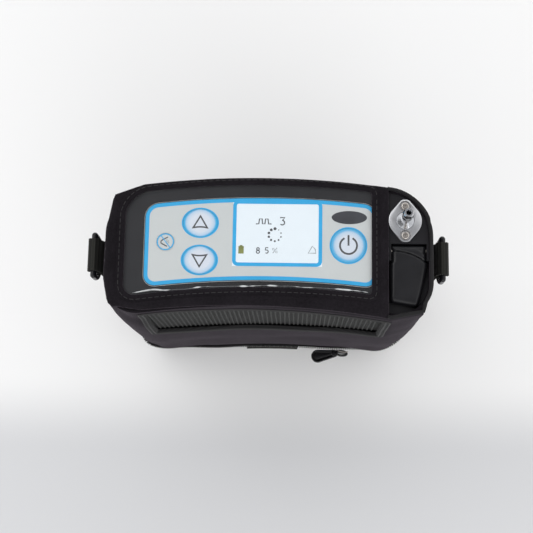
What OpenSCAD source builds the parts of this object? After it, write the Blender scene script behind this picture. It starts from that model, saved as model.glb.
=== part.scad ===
// Portable oxygen concentrator standing in its soft carry bag.
// Origin: on the table under the middle of the bag. +Z up, +X to the patient-outlet end,
// -Y is the hollow front that sits against the user's hip, +Y the rounded back.

/* [Body] */
// Width of the hard casing, end to end
device_w = 170; // [165:1:180]
// Depth of the hard casing, front to back
device_d = 64; // [62:1:70]
// Corner radius of the casing seen from above
device_corner = 19.8; // [19:0.2:21]
// Radius of the kidney curve of the front and back faces
bend_r = 480; // [420:10:700]
// How far the middle of the kidney curve lies behind the origin
mid_y = 3.7; // [3:0.1:5]
// Wall of the moulded casing
casing_wall = 2.2; // [1.8:0.1:2.6]
// Top face of the casing
top_z = 187.5; // [187:0.5:190]

/* [Bag] */
// Gap between the casing and the bag
bag_gap = 0.3; // [0.3:0.1:0.4]
// Thickness of the padded bag wall
bag_wall = 2.9; // [2.5:0.1:3.2]
// Thickness of the bag's top panel
bag_top_t = 2; // [1.6:0.1:2.4]
// How far the foot of the bag tucks in
tuck = 4; // [3:0.5:5]
// Height over which the foot of the bag tucks in
tuck_h = 25.3; // [25:0.1:26]
// Upper edge of the hinged base
flap_h = 21; // [20:0.5:21]
// Thickness of the hinged base
flap_t = 3.5; // [3:0.1:3.5]
// Width of the strap webbing
webbing_w = 18; // [17:0.5:18]
// Wire diameter of the strap rings
ring_wire = 3.4; // [3:0.1:3.6]

/* [Panel] */
// Length of the up and down keys
oval_key_l = 18.2; // [17:0.1:19]
// Depth of the up and down keys
oval_key_d = 14.9; // [14:0.1:15.5]
// Diameter of the power key
power_key_dia = 18.3; // [17:0.1:19]
// Diameter of the mute key
mute_key_dia = 9.4; // [9:0.1:10]
// Width of the display window
screen_w = 47.2; // [46:0.1:48]
// Depth of the display window
screen_d = 35.5; // [35:0.1:36]
// Travel of every key
key_travel = 0.7; // [0.5:0.1:0.7]

/* [Cartridge] */
// Where the lift-out cartridge begins along the width
cartridge_x = 64; // [64:0.1:64.5]
// Height of the tip of the oxygen outlet
outlet_tip_z = 208; // [204:1:210]
// Radius of the outlet's barbs, the size a cannula tube fits over
barb_r = 2.9; // [2.6:0.1:3.2]
// Distance between the two screws of the outlet plate
plate_screw_pitch = 15.7; // [15.5:0.1:16]

/* [Inside] */
// Radius of one lithium cell
cell_r = 9; // [8.8:0.1:9]
// Length of one lithium cell
cell_l = 65; // [64:1:65]
// Radius of the motor shaft
shaft_r = 2; // [1.8:0.1:2]
// Running clearance of shafts in their bearings, radial
running = 0.05; // [0.03:0.01:0.08]
// Side of the square cooling fan
fan_size = 46; // [44:1:46]

/* [Hidden] */
$fn = 48;
eps = 0.01;
slip = 0.3;                                  // play between pieces that move past each other
far = 200;                                   // reaches past the whole object

bag_out = bag_gap + bag_wall;                // bag's outer face, outwards from the casing
bag_z1 = top_z + 0.5;                        // underside of the bag's top panel
casing_z0 = 49;
casing_z1 = 178;
battery_z0 = flap_t + slip;
battery_z1 = 48.5;
cover_t = 2.5;                               // top plate of the casing
overlay_t = 0.4;
deck_z = casing_z0 + casing_wall + 0.2;      // underside of the internal deck
deck_t = 1.6;
vent = [-66, 67, 121, 176];                  // bag's front vent: left, right, bottom, top
window = [-75, 57.5, -24, 31];               // bag's clear window: left, right, front, back
panel = [-65, 58, -20.5, 24.5];              // keypad overlay: left, right, front, back
flap_axis = [26, flap_t / 2];                // y and z of the base's fold line
fold_half = 60;                              // half the length of the fold's bead
flap_wall_y = 8;                             // the base's walls stop here, short of the back corners
chain_z = [flap_h + slip, tuck_h];
slider_x = 44.5;
puller_out = 12;                             // how far the zip's puller stands out, degrees
ring_axis = [94, -1, 172];                   // x, y and z of a strap ring's bar
ring_half = 12.6;                            // half the outer width of a strap ring
ring_drop = 17;
screen_c = [5.4, 5.1];
key_c = [[42.8, 0.8], [-35.4, 11.6], [-35.4, -8.4], [-53.6, 2.8]];   // power, up, down, mute
outlet_c = [72.5, 16];
handle_axis = [0.8, 184.4];                  // y and z of the pull handle's pin
handle_sweep = 2.9;                          // radius that the handle's hinge end stays within
grip_y = -6.2;                               // in front of here the handle is as wide as the cartridge
grip_slant = 15.5;                           // slope of the handle's front edge, degrees
recess_z = 183.2;                            // floor of the recess that the handle lies in
tube_c = [73, 9.3, 14];                      // sieve tube: x, and the two ends of its oval
tube_r = 8.2;
tube_z = [56, 176];
comp_y = 2;
comp_z = 80;                                 // height of the compressor's shaft
cylinder_x = [-59, -37];
crank_throw = 3.5;
fan_c = [3, 148];                            // x and z of the fan's centre
fan_y = [-25.6, -14.6];
post_c = [[-74, 20], [-74, -20], [57, 25.8], [57, -25.8]];   // casing screw posts: x and depth
inlet_c = [-20, 62];                         // x and z of the power inlet
contact_x = [-20, 3];                        // battery contact block, left to right
contact_y = 9;

// y of the kidney curve's middle line at a given x
function arc_y(x) = mid_y - bend_r + sqrt(bend_r * bend_r - x * x);
function bent(x, d) = [x, arc_y(x) + d];
function corner_arc(cx, cd, r, start) = r <= 0 ? [bent(cx, cd)] :
    [for (i = [0:8]) bent(cx + r * cos(start + i * 90 / 8), cd + r * sin(start + i * 90 / 8))];
function long_side(x0, x1, d, n = 10) = [for (i = [1:n - 1]) bent(x0 + (x1 - x0) * i / n, d)];
// A rounded rectangle from x0 to x1 and from depth d0 to d1, bent along the kidney curve
function bent_rect(x0, x1, d0, d1, r = 0) = concat(
    corner_arc(x1 - r, d1 - r, r, 0), long_side(x1 - r, x0 + r, d1),
    corner_arc(x0 + r, d1 - r, r, 90), corner_arc(x0 + r, d0 + r, r, 180),
    long_side(x0 + r, x1 - r, d0), corner_arc(x1 - r, d0 + r, r, 270));
// The casing's outline, grown outwards by g
function outline(g = 0) = bent_rect(-device_w / 2 - g, device_w / 2 + g,
    -device_d / 2 - g, device_d / 2 + g, device_corner + g);
function tuck_at(z) = tuck * max(0, 1 - z / tuck_h);
function ellipse(l, d, n = 48) = [for (i = [0:n - 1]) [l / 2 * cos(i * 360 / n), d / 2 * sin(i * 360 / n)]];
function unit(v) = v / norm(v);
// Rings of a round tube swept along points p
function tube_rings(p, r, sides, ref) = [for (i = [0:len(p) - 1])
    let (t = unit(p[min(i + 1, len(p) - 1)] - p[max(i - 1, 0)]), u = unit(cross(t, ref)), v = cross(t, u))
    [for (k = [0:sides - 1]) p[i] + r * (cos(k * 360 / sides) * u + sin(k * 360 / sides) * v)]];
// Points of a smooth curve through the hand-set points p, n to a span
function smooth(p, n = 4) = concat([for (i = [0:len(p) - 2], k = [0:n - 1])
    let (a = p[max(i - 1, 0)], b = p[i], c = p[i + 1], d = p[min(i + 2, len(p) - 1)], t = k / n)
    b + 0.5 * t * ((c - a) + t * ((2 * a - 5 * b + 4 * c - d) + t * (3 * b - a - 3 * c + d)))],
    [p[len(p) - 1]]);

module prism(points, z0, z1) translate([0, 0, z0]) linear_extrude(z1 - z0) polygon(points);
module box(x, y, z) translate([x[0], y[0], z[0]]) cube([x[1] - x[0], y[1] - y[0], z[1] - z[0]]);
module rod_x(y, z, x0, x1, r) translate([x0, y, z]) rotate([0, 90, 0]) cylinder(h = x1 - x0, r = r);
module rod_y(x, z, y0, y1, r) translate([x, y1, z]) rotate([90, 0, 0]) cylinder(h = y1 - y0, r = r);
module rod_z(x, y, z0, z1, r) translate([x, y, z0]) cylinder(h = z1 - z0, r = r);
module at_panel(c) translate(bent(c[0], c[1])) children();
// A panel that follows the kidney curve, from x0 to x1, depth d0 to d1
module bent_panel(x, d, z, r = 0) prism(bent_rect(x[0], x[1], d[0], d[1], r), z[0], z[1]);
// A closed skin over rings of points
module loft(rings) {
    n = len(rings[0]);
    m = len(rings);
    polyhedron([for (ring = rings) each ring], concat(
        [[for (k = [0:n - 1]) k]],
        [for (j = [0:m - 2], k = [0:n - 1])
            [j * n + k, (j + 1) * n + k, (j + 1) * n + (k + 1) % n, j * n + (k + 1) % n]],
        [[for (k = [n - 1:-1:0]) (m - 1) * n + k]]));
}
// The casing's outline grown by g and tucked in towards the floor, through the given heights
module tucked(g, heights) loft([for (z = heights) [for (p = outline(g - tuck_at(z))) [p[0], p[1], z]]]);
module swept(p, r, sides = 10, ref = [0.3, 0.2, 1]) loft([for (ring = tube_rings(p, r, sides, ref)) ring]);
module behind(y) box([-far, far], [y, far], [-far, 2 * far]);
module in_front(y) box([-far, far], [-far, y], [-far, 2 * far]);
module right_of(x) box([x, far], [-far, far], [-far, 2 * far]);
module left_of(x) box([-far, x], [-far, far], [-far, 2 * far]);

// ---------------------------------------------------------------- bag

module inlet_access() box([inlet_c[0] - 12, inlet_c[0] + 12], [20, 60], [inlet_c[1] - 8, inlet_c[1] + 8]);

module bag_shell() color([0.13, 0.12, 0.14]) {
    difference() {
        prism(outline(bag_out), tuck_h, bag_z1);
        prism(outline(bag_gap), tuck_h - 1, bag_z1 + 1);
        bent_panel([vent[0], vent[1]], [-60, -10], [vent[2], vent[3]]);
        inlet_access();
    }
    difference() {
        tucked(bag_out, [0, tuck_h]);
        tucked(bag_gap, [flap_t, tuck_h + eps]);
        in_front(flap_wall_y + 0.4);
        intersection() {
            prism(outline(bag_gap - tuck), -1, flap_t + 1);
            in_front(flap_axis[0] + 2.5);
        }
    }
}

module corner_opening(g, z0, z1) intersection() {
    prism(outline(g), z0, z1);
    right_of(cartridge_x - g);
}

module bag_top_frame() color([0.12, 0.11, 0.13]) difference() {
    prism(outline(bag_out), bag_z1, bag_z1 + bag_top_t);
    bent_panel([window[0], window[1]], [window[2], window[3]], [bag_z1 - 1, bag_z1 + 3], 4);
    corner_opening(bag_gap, bag_z1 - 1, bag_z1 + 3);
}

module bag_window() color([0.85, 0.9, 0.92, 0.35])
    bent_panel([window[0], window[1]], [window[2], window[3]], [bag_z1 + 0.6, bag_z1 + 0.95], 4);

module vent_mesh() color([0.28, 0.28, 0.28]) {
    front = -device_d / 2;
    rib_pitch = 2.5;
    bent_panel([vent[0], vent[1]], [front - 1.6, front - 0.6], [vent[2], vent[3]]);
    for (x = [vent[0] + 5:rib_pitch:vent[1] - 5])
        translate([x, arc_y(x) + front - 2.5, vent[2] + 4.5]) cube([1.3, 1.1, vent[3] - vent[2] - 9]);
}

module vent_trim() color([0.07, 0.07, 0.08]) difference() {
    edge = 4;
    face = -device_d / 2 - bag_out;
    bent_panel([vent[0] - 1, vent[1] + 1], [face - 0.9, face - 0.06], [vent[2] - 1, vent[3] + 1]);
    bent_panel([vent[0] + edge, vent[1] - edge], [face - 5, face + 5], [vent[2] + edge, vent[3] - edge]);
}

module zip_chain() color([0.09, 0.08, 0.09]) difference() {
    prism(outline(bag_out + 0.7), chain_z[0], chain_z[1]);
    prism(outline(bag_gap), chain_z[0] - 1, chain_z[1] + 1);
    behind(flap_wall_y);
}

module base_flap() color([0.2, 0.19, 0.21]) {
    difference() {
        tucked(bag_out, [-1, flap_h + 1]);
        tucked(bag_gap, [flap_t, flap_h + 2]);
        box([-far, far], [-far, far], [-2, 0]);
        box([-far, far], [-far, far], [flap_h, flap_h + 3]);
        difference() {
            behind(flap_wall_y);
            prism(outline(bag_gap - tuck - 0.4), -2, far);
        }
        behind(flap_axis[0] - 0.6);
        for (x = [[-far, -fold_half], [fold_half, far]]) box(x, [flap_axis[0] - flap_t, far], [-1, flap_t + 1]);
    }
    rod_x(flap_axis[0], flap_axis[1], -fold_half, fold_half, 1.5);
}

module base_pull_tab() color([0.07, 0.07, 0.08]) intersection() {
    difference() {
        tucked(bag_out + 1.5, [2, 16]);
        tucked(bag_out, [1.9, 16.1]);
    }
    box([-17, 17], [-60, 0], [0, 20]);
}

module zip_slider() color([0.1, 0.1, 0.11]) {
    face = arc_y(slider_x) - device_d / 2 - bag_out - 0.7;
    tilt = asin(slider_x / bend_r);
    translate([slider_x, face, 0]) rotate([0, 0, -tilt]) difference() {
        union() {
            box([-5, 5], [-2, -0.5], [21.5, 27.5]);
            rod_z(-3.2, -3.2, 21.5, 27.5, 1.9);
        }
        rod_z(-3.2, -3.2, 21, 28, 0.9);
    }
}

module zip_puller() color([0.06, 0.06, 0.07]) {
    face = arc_y(slider_x) - device_d / 2 - bag_out - 0.7;
    tilt = asin(slider_x / bend_r);
    translate([slider_x, face, 0]) rotate([0, 0, -tilt]) translate([-3.2, -3.2, 0]) {
        rod_z(0, 0, 20.6, 28.6, 0.9 - running);
        rotate([0, 0, puller_out]) translate([0, 0, 27.8]) hull() {
            translate([0.4, 0, 0]) cylinder(h = 2.4, r = 2.4, $fn = 32);
            translate([-10.6, -0.6, 0]) cylinder(h = 2.4, r = 4.3, $fn = 32);
        }
    }
}

module webbing_loop(side) {
    outer = ring_wire / 2 + 1.7;
    inner = ring_wire / 2 + 0.25;
    face = device_w / 2 + bag_out;
    y = [ring_axis[1] - webbing_w / 2, ring_axis[1] + webbing_w / 2];
    mirror([side < 0 ? 1 : 0, 0, 0]) {
        difference() {
            union() {
                rod_y(ring_axis[0], ring_axis[2], y[0], y[1], outer);
                box([face, face + 3], y, [138, 162]);
                translate([0, y[1], 0]) rotate([90, 0, 0]) linear_extrude(webbing_w)
                    polygon([[face, 160], [face + 3, 160], [face + 3, 166.5], [ring_axis[0] + outer - 0.3, ring_axis[2] - 1.2],
                        [ring_axis[0] - outer + 0.3, ring_axis[2] + 1.2], [face, 170]]);
            }
            rod_y(ring_axis[0], ring_axis[2], y[0] - 1, y[1] + 1, inner);
        }
    }
}

module side_webbing() color([0.11, 0.11, 0.1]) {
    webbing_loop(1);
    webbing_loop(-1);
}

// A strap ring hanging from its bar: bar, two bends, two legs and a round bottom
module d_ring(side) {
    r = ring_wire / 2;
    bend = ring_half - r;
    x = side * ring_axis[0];
    low = ring_axis[2] - ring_drop + bend;
    rod_y(x, ring_axis[2], ring_axis[1] - bend, ring_axis[1] + bend, r);
    for (s = [-1, 1]) {
        rod_z(x, ring_axis[1] + s * bend, low, ring_axis[2], r);
        translate([x, ring_axis[1] + s * bend, ring_axis[2]]) sphere(r = r);
    }
    translate([x, ring_axis[1], low]) rotate([0, 90, 0]) rotate([0, 0, -90])
        rotate_extrude(angle = 180) translate([bend, 0]) circle(r = r);
}

module d_ring_left() color([0.08, 0.08, 0.09]) d_ring(-1);
module d_ring_right() color([0.08, 0.08, 0.09]) d_ring(1);

// ---------------------------------------------------------------- casing

module key_outline(i, g) {
    if (i == 0) circle(r = power_key_dia / 2 + g, $fn = 64);
    if (i == 1 || i == 2) polygon(ellipse(oval_key_l + 2 * g, oval_key_d + 2 * g));
    if (i == 3) circle(r = mute_key_dia / 2 + g);
}

module key_holes(z0, z1) for (i = [0:3])
    at_panel(key_c[i]) translate([0, 0, z0]) linear_extrude(z1 - z0) key_outline(i, slip);

module screen_hole(z0, z1) at_panel(screen_c)
    box([-screen_w / 2, screen_w / 2], [-screen_d / 2, screen_d / 2], [z0, z1]);

module key(i) at_panel(key_c[i]) {
    plate = top_z - cover_t;
    translate([0, 0, plate - 1]) linear_extrude(top_z + overlay_t + 0.25 - plate + 1) key_outline(i, 0);
    translate([0, 0, plate - 1.1]) linear_extrude(0.8) key_outline(i, 0.9);
}

module power_key() color([0.75, 0.83, 0.88]) key(0);
module up_key() color([0.4, 0.65, 0.85]) key(1);
module down_key() color([0.4, 0.65, 0.85]) key(2);
module mute_key() color([0.5, 0.75, 0.9]) key(3);

module membrane_overlay() color([0.8, 0.81, 0.8]) difference() {
    bent_panel([panel[0], panel[1]], [panel[2], panel[3]], [top_z, top_z + overlay_t], 7);
    key_holes(top_z - 1, top_z + 1);
    screen_hole(top_z - 1, top_z + 1);
}

module lcd_lens() color([0.8, 0.92, 0.95, 0.6]) screen_hole(top_z - cover_t, top_z + overlay_t);

module top_cover() color([0.07, 0.07, 0.08]) difference() {
    prism(outline(), casing_z1, top_z);
    prism(outline(-casing_wall), casing_z1 - 1, top_z - cover_t);
    right_of(cartridge_x - 0.4);
    key_holes(top_z - 5, top_z + 1);
    screen_hole(top_z - 5, top_z + 1);
}

module casing_half(front) difference() {
    union() {
        difference() {
            prism(outline(), casing_z0, casing_z1);
            prism(outline(-casing_wall), casing_z0 + casing_wall, casing_z1 + 1);
        }
        for (p = post_c) if (front == (p[1] < 0))
            translate(bent(p[0], p[1])) cylinder(h = casing_z1 - 1, r = 3.4);
    }
    prism(bent_rect(-far / 2, far / 2, front ? 0 : -far / 2, front ? far / 2 : 0), casing_z0 - 1, casing_z1 + 1);
    box([-far, far], [-far, far], [-1, casing_z0]);
    for (p = post_c) {
        translate(bent(p[0], p[1])) rod_z(0, 0, casing_z0 - 1, casing_z0 + 14, 1.2);
        translate(bent(p[0], p[1])) rod_z(0, 0, casing_z0 - 1, casing_z0 + 1.6, 2.6);
    }
}

module front_shell() color([0.09, 0.09, 0.1]) difference() {
    slot_pitch = 6;
    casing_half(true);
    for (x = [-60:slot_pitch:60]) box([x - 1.5, x + 1.5], [-60, -22], [128, 169]);
}

module contact_slot() box([contact_x[0] - 0.2, contact_x[1] + 0.2], [contact_y - 0.2, contact_y + 6.2],
    [casing_z0 - 6, casing_z0 + 9]);

module rear_shell() color([0.09, 0.09, 0.1]) difference() {
    casing_half(false);
    contact_slot();
    rod_y(inlet_c[0], inlet_c[1], 20, 60, 5.1);
}

module casing_screws() color([0.7, 0.7, 0.72]) for (p = post_c) translate(bent(p[0], p[1])) {
    rod_z(0, 0, casing_z0 + 0.2, casing_z0 + 1.5, 2.4);
    rod_z(0, 0, casing_z0 + 1.5, casing_z0 + 12, 1.1);
}

module chassis() color([0.25, 0.26, 0.28]) {
    wall_x = [cartridge_x - 2.6, cartridge_x - 0.6];
    difference() {
        bent_panel([-62, wall_x[1]], [-28.5, 28.5], [deck_z, deck_z + deck_t]);
        for (p = post_c) translate(bent(p[0], p[1])) rod_z(0, 0, 0, 100, 3.8);
        contact_slot();
    }
    difference() {
        bent_panel(wall_x, [-28, 28], [deck_z, casing_z1 - 0.4]);
        for (p = post_c) translate(bent(p[0], p[1])) rod_z(0, 0, 0, 300, 3.8);
        for (y = [-14, 14]) rod_x(y, 62, 50, 70, 2.1);
    }
}

// ---------------------------------------------------------------- electronics

module control_board() color([0.05, 0.3, 0.15]) {
    z = [178.6, 180.2];
    switch_top = top_z - cover_t - 1.1 - key_travel - 0.1;
    bent_panel([-62, 56], [-20, 23], z, 3);
    for (c = key_c) at_panel(c) {
        box([-3, 3], [-3, 3], [z[1], switch_top - 0.8]);
        rod_z(0, 0, switch_top - 0.8, switch_top, 1.6);
    }
}

module lcd_module() color([0.75, 0.78, 0.8]) at_panel(screen_c)
    box([-screen_w / 2 - 1, screen_w / 2 + 1], [-screen_d / 2 - 1, screen_d / 2 + 1], [180.2, top_z - cover_t]);

module alarm_buzzer() color([0.08, 0.08, 0.08]) translate([45, 12, 0]) difference() {
    rod_z(0, 0, 174.4, 178.6, 5);
    rod_z(0, 0, 174, 175.4, 0.8);
}

module breath_sensor() color([0.85, 0.85, 0.8]) {
    box([-56, -44], [-14, -4], [174.6, 178.6]);
    for (y = [-11.5, -6.5]) rod_z(-50, y, 171, 174.6, 1.4);
}

module main_board() color([0.05, 0.25, 0.35]) {
    y = 26.4;
    box([-50, 45], [y, y + 1.6], [76, 166]);
    box([-38, -22], [y - 2, y], [120, 136]);
    box([2, 30], [y - 4, y], [84, 96]);
    for (x = [-8:9:28]) rod_z(x, y - 3.5, 142, 154, 3.5);
    box([32, 42], [y - 3, y], [104, 132]);
}

module dc_inlet() color([0.1, 0.1, 0.1]) {
    back = arc_y(inlet_c[0]) + device_d / 2;
    difference() {
        union() {
            rod_y(inlet_c[0], inlet_c[1], back - 10, back, 5);
            box([inlet_c[0] - 6.5, inlet_c[0] + 6.5], [back - 11, back - casing_wall - 0.6],
                [inlet_c[1] - 6.5, inlet_c[1] + 6.5]);
        }
        rod_y(inlet_c[0], inlet_c[1], back - 9, back + 1, 2.9);
    }
    rod_y(inlet_c[0], inlet_c[1], back - 9.5, back - 1, 1);
}

// ---------------------------------------------------------------- cartridge

module oval_tube(sign, r, z0, z1) {
    for (y = [tube_c[1], tube_c[2]]) rod_z(tube_c[0], sign * y - 2.5, z0, z1, r);
    box([tube_c[0] - r, tube_c[0] + r], [min(sign * tube_c[1], sign * tube_c[2]) - 2.5,
        max(sign * tube_c[1], sign * tube_c[2]) - 2.5], [z0, z1]);
}

module cartridge_body() color([0.08, 0.08, 0.09]) difference() {
    core = -casing_wall - 0.4;
    pocket_y = handle_axis[0] + handle_sweep + 0.3;
    union() {
        intersection() {
            prism(outline(), casing_z1 + 0.4, top_z);
            right_of(cartridge_x);
        }
        intersection() {
            prism(outline(core), 54, casing_z1 + 0.5);
            right_of(cartridge_x);
        }
    }
    intersection() {
        prism(outline(core - 1.4), 60, 171);
        right_of(cartridge_x + 1.2);
    }
    for (s = [-1, 1]) {
        oval_tube(s, tube_r, tube_z[0], tube_z[1]);
        rod_z(tube_c[0], s * 11.6 - 2.5, 53, 58, 2);
    }
    intersection() {
        prism(outline(-1.2), recess_z, top_z + 1);
        right_of(cartridge_x + 1.2);
        in_front(pocket_y);
    }
    intersection() {
        prism(outline(1), recess_z, top_z + 1);
        right_of(cartridge_x - 1);
        in_front(grip_y + 1.2);
    }
    rod_z(outlet_c[0], outlet_c[1], top_z - 2.1, top_z + 1, 6.6);
    rod_z(outlet_c[0], outlet_c[1], 177, top_z, 3);
    for (s = [-1, 1]) rod_z(outlet_c[0], outlet_c[1] + s * plate_screw_pitch / 2, 180, top_z + 1, 1);
    rod_x(handle_axis[0], handle_axis[1], cartridge_x - 1, 84.65, 1.02);
    rod_x(handle_axis[0], handle_axis[1], cartridge_x + 1.2, 83.8, handle_sweep + 0.2);
}

module nozzle_plate() color([0.82, 0.83, 0.84]) difference() {
    middle_r = 8.7;
    end = [1.8, 11.4];                       // half the width of the cut ends, and how far out they are
    turn = atan(end[0] / end[1]) + acos(middle_r / norm(end));
    touch = middle_r * [sin(turn), cos(turn)];   // where the straight sides leave the round middle
    half = [touch, end, [-end[0], end[1]], [-touch[0], touch[1]]];
    translate([outlet_c[0], outlet_c[1], top_z]) linear_extrude(2) {
        circle(r = middle_r, $fn = 96);
        polygon(concat(half, -half));
    }
    rod_z(outlet_c[0], outlet_c[1], top_z - 1, top_z + 3, 4.7);
    for (s = [-1, 1]) translate([outlet_c[0], outlet_c[1] + s * plate_screw_pitch / 2, 0]) {
        rod_z(0, 0, top_z - 1, top_z + 3, 1.2);
        rod_z(0, 0, top_z + 0.9, top_z + 3, 2.7);
    }
}

module nozzle_screws() color([0.75, 0.75, 0.77]) for (s = [-1, 1])
    translate([outlet_c[0], outlet_c[1] + s * plate_screw_pitch / 2, 0]) difference() {
        union() {
            rod_z(0, 0, top_z + 0.9, top_z + 2.3, 2.1);
            rod_z(0, 0, top_z - 6, top_z + 0.9, 0.98);
        }
        translate([0, 0, top_z + 1.3]) cylinder(h = 2, r = 1.1, $fn = 6);
    }

module oxygen_nozzle() color([0.8, 0.81, 0.83]) {
    tip = outlet_tip_z;
    translate([outlet_c[0], outlet_c[1], 0]) rotate_extrude($fn = 64) polygon([
        [1.35, top_z - 2], [6.5, top_z - 2], [6.5, top_z], [4.6, top_z], [4.6, top_z + 2.6],
        [3.4, top_z + 5], [2.4, top_z + 6.5], [2.4, tip - 10], [barb_r, tip - 9.6], [barb_r, tip - 8],
        [2.3, tip - 5], [2.3, tip - 4.6], [barb_r, tip - 4.4], [barb_r, tip - 3], [2.2, tip],
        [1.35, tip]]);
}

module handle_pin() color([0.85, 0.85, 0.86])
    rod_x(handle_axis[0], handle_axis[1], cartridge_x + 0.3, 84.6, 1);

module pull_handle() color([0.06, 0.06, 0.07]) {
    edge = 1.5;
    difference() {
        union() {
            intersection() {
                prism(outline(-edge - 0.1), recess_z + 0.4, handle_axis[1] + handle_sweep);
                right_of(cartridge_x + edge);
                in_front(handle_axis[0]);
            }
            intersection() {
                prism(outline(-slip), recess_z + 0.4, handle_axis[1] + handle_sweep);
                right_of(cartridge_x + slip);
                in_front(grip_y);
            }
            intersection() {
                rod_x(handle_axis[0], handle_axis[1], cartridge_x + 1.5, 83.3, handle_sweep);
                box([cartridge_x, 84], [-10, 10], [recess_z + 0.4, top_z]);
                prism(outline(-edge), 180, 190);
            }
        }
        rod_x(handle_axis[0], handle_axis[1], cartridge_x, 85, 1 + running);
        translate([cartridge_x, -25.5, 0]) rotate([0, 0, -grip_slant]) box([-5, 30], [-20, 0], [recess_z, top_z]);
    }
}

module sieve_tubes() color([0.8, 0.82, 0.84]) for (s = [-1, 1]) difference() {
    oval_tube(s, tube_r, tube_z[0], tube_z[1]);
    oval_tube(s, tube_r - 0.8, tube_z[0] + 1, tube_z[1] - 1);
    rod_z(tube_c[0], s * 11.6 - 2.5, 50, 60, 2);
    rod_z(tube_c[0], s * 11.6 - 2.5, 170, 180, 2);
}

module sieve_material() color([0.9, 0.87, 0.78]) for (s = [-1, 1])
    oval_tube(s, tube_r - 0.9, 61, 160);

module sieve_retainers() color([0.6, 0.62, 0.65]) for (s = [-1, 1]) {
    for (z = [58.8, 160.2]) difference() {
        oval_tube(s, tube_r - 0.9, z, z + 2);
        for (x = [-4, 0, 4], y = [8, 11.65, 15.3]) rod_z(tube_c[0] + x, s * y - 2.5, z - 1, z + 3, 0.9);
    }
    turns = 3.5;
    spring = [for (a = [0:24:360 * turns]) [tube_c[0] + 5 * cos(a), s * 11.65 - 2.5 + 5 * sin(a),
        162.9 + a / 360 * 3.2]];
    swept(spring, 0.6, 6);
}

module cartridge_seals() color([0.15, 0.35, 0.6]) for (s = [-1, 1]) translate([tube_c[0], s * 11.6 - 2.5, 0])
    difference() {
        rod_z(0, 0, deck_z, 54, 4);
        rod_z(0, 0, deck_z - 1, 55, 2);
    }

// ---------------------------------------------------------------- compressor

module compressor_housing() color([0.62, 0.64, 0.66]) difference() {
    x = [-70, -26];
    union() {
        box(x, [comp_y - 17, comp_y + 17], [61, 97]);
        for (c = cylinder_x) rod_z(c, comp_y, 96, 128, 10);
        for (c = [[-66, 10.5], [-30, 10.5]], s = [-1, 1]) rod_z(c[0], comp_y + s * c[1], 59, 62, 3.5);
    }
    box([x[0] + 3, x[1] - 3], [comp_y - 14, comp_y + 14], [64, 94]);
    for (c = cylinder_x) rod_z(c, comp_y, 90, 129, 7.5);
    rod_x(comp_y, comp_z, x[0] - 1, x[1] + 1, 4);
}

module compressor_mounts() color([0.1, 0.1, 0.1]) for (x = [-66, -30], s = [-1, 1])
    rod_z(x, comp_y + s * 10.5, deck_z + deck_t, 59, 4);

module cylinder_heads() color([0.55, 0.57, 0.6]) difference() {
    union() {
        box([-70, -26], [comp_y - 11, comp_y + 11], [128, 137]);
        for (z = [138, 141, 144]) box([-70, -26], [comp_y - 11, comp_y + 11], [z, z + 1.4]);
        box([-62, -34], [comp_y - 3, comp_y + 3], [137, 145.4]);
    }
    for (c = cylinder_x) rod_z(c, comp_y, 127, 132, 5);
    rod_x(comp_y, 132.5, -50, -25, 2);
}

module pistons() color([0.85, 0.85, 0.87]) for (i = [0, 1]) {
    x = cylinder_x[i];
    lift = i == 0 ? crank_throw : -crank_throw;
    reach = 6 + crank_throw + slip;
    difference() {
        union() {
            rod_x(comp_y, comp_z, x - 2.4, x + 2.4, reach + 1.6);
            box([x - 2.4, x + 2.4], [comp_y - 2.5, comp_y + 2.5], [comp_z + reach, 112 + lift]);
            rod_z(x, comp_y, 111 + lift, 116 + lift, 7.4);
        }
        rod_x(comp_y, comp_z, x - 4, x + 4, reach);
    }
}

module motor_stator() color([0.5, 0.35, 0.2]) difference() {
    rod_x(comp_y, comp_z, -26, -2, 18);
    rod_x(comp_y, comp_z, -23, -4, 12.6);
    rod_x(comp_y, comp_z, -27, -20, 4.5);
}

module motor_rotor() color([0.75, 0.76, 0.78]) {
    rod_x(comp_y, comp_z, -69.5, -5, shaft_r);
    rod_x(comp_y, comp_z, -22, -5, 12);
    for (i = [0, 1]) rod_x(comp_y, comp_z + (i == 0 ? crank_throw : -crank_throw),
        cylinder_x[i] - 2.2, cylinder_x[i] + 2.2, 6);
}

module motor_bearings() color([0.8, 0.8, 0.82]) for (x = [-70, -29]) difference() {
    rod_x(comp_y, comp_z, x, x + 3, 4);
    rod_x(comp_y, comp_z, x - 1, x + 4, shaft_r + running);
}

// ---------------------------------------------------------------- gas path

module valve_manifold() color([0.7, 0.68, 0.6]) difference() {
    box([6, 48], [-18, 22], [deck_z + deck_t, 66]);
    for (y = [-14, 14]) rod_x(y, 62, 40, 50, 2);
    rod_x(2, 60, 4, 46, 2);
}

module solenoid_valves() color([0.2, 0.2, 0.22]) for (x = [10, 24], y = [-14, 2]) {
    box([x, x + 10], [y, y + 12], [66, 82]);
    rod_z(x + 5, y + 6, 82, 85, 2.6);
}

module product_tank() color([0.78, 0.79, 0.8]) translate([47, 8, 0]) rotate_extrude($fn = 64)
    polygon([[0, 68], [8, 68], [12, 71], [12, 117], [8, 120], [0, 120], [0, 118.6], [7.5, 118.6],
        [10.8, 116.3], [10.8, 71.7], [7.5, 69.4], [0, 69.4]]);

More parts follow.
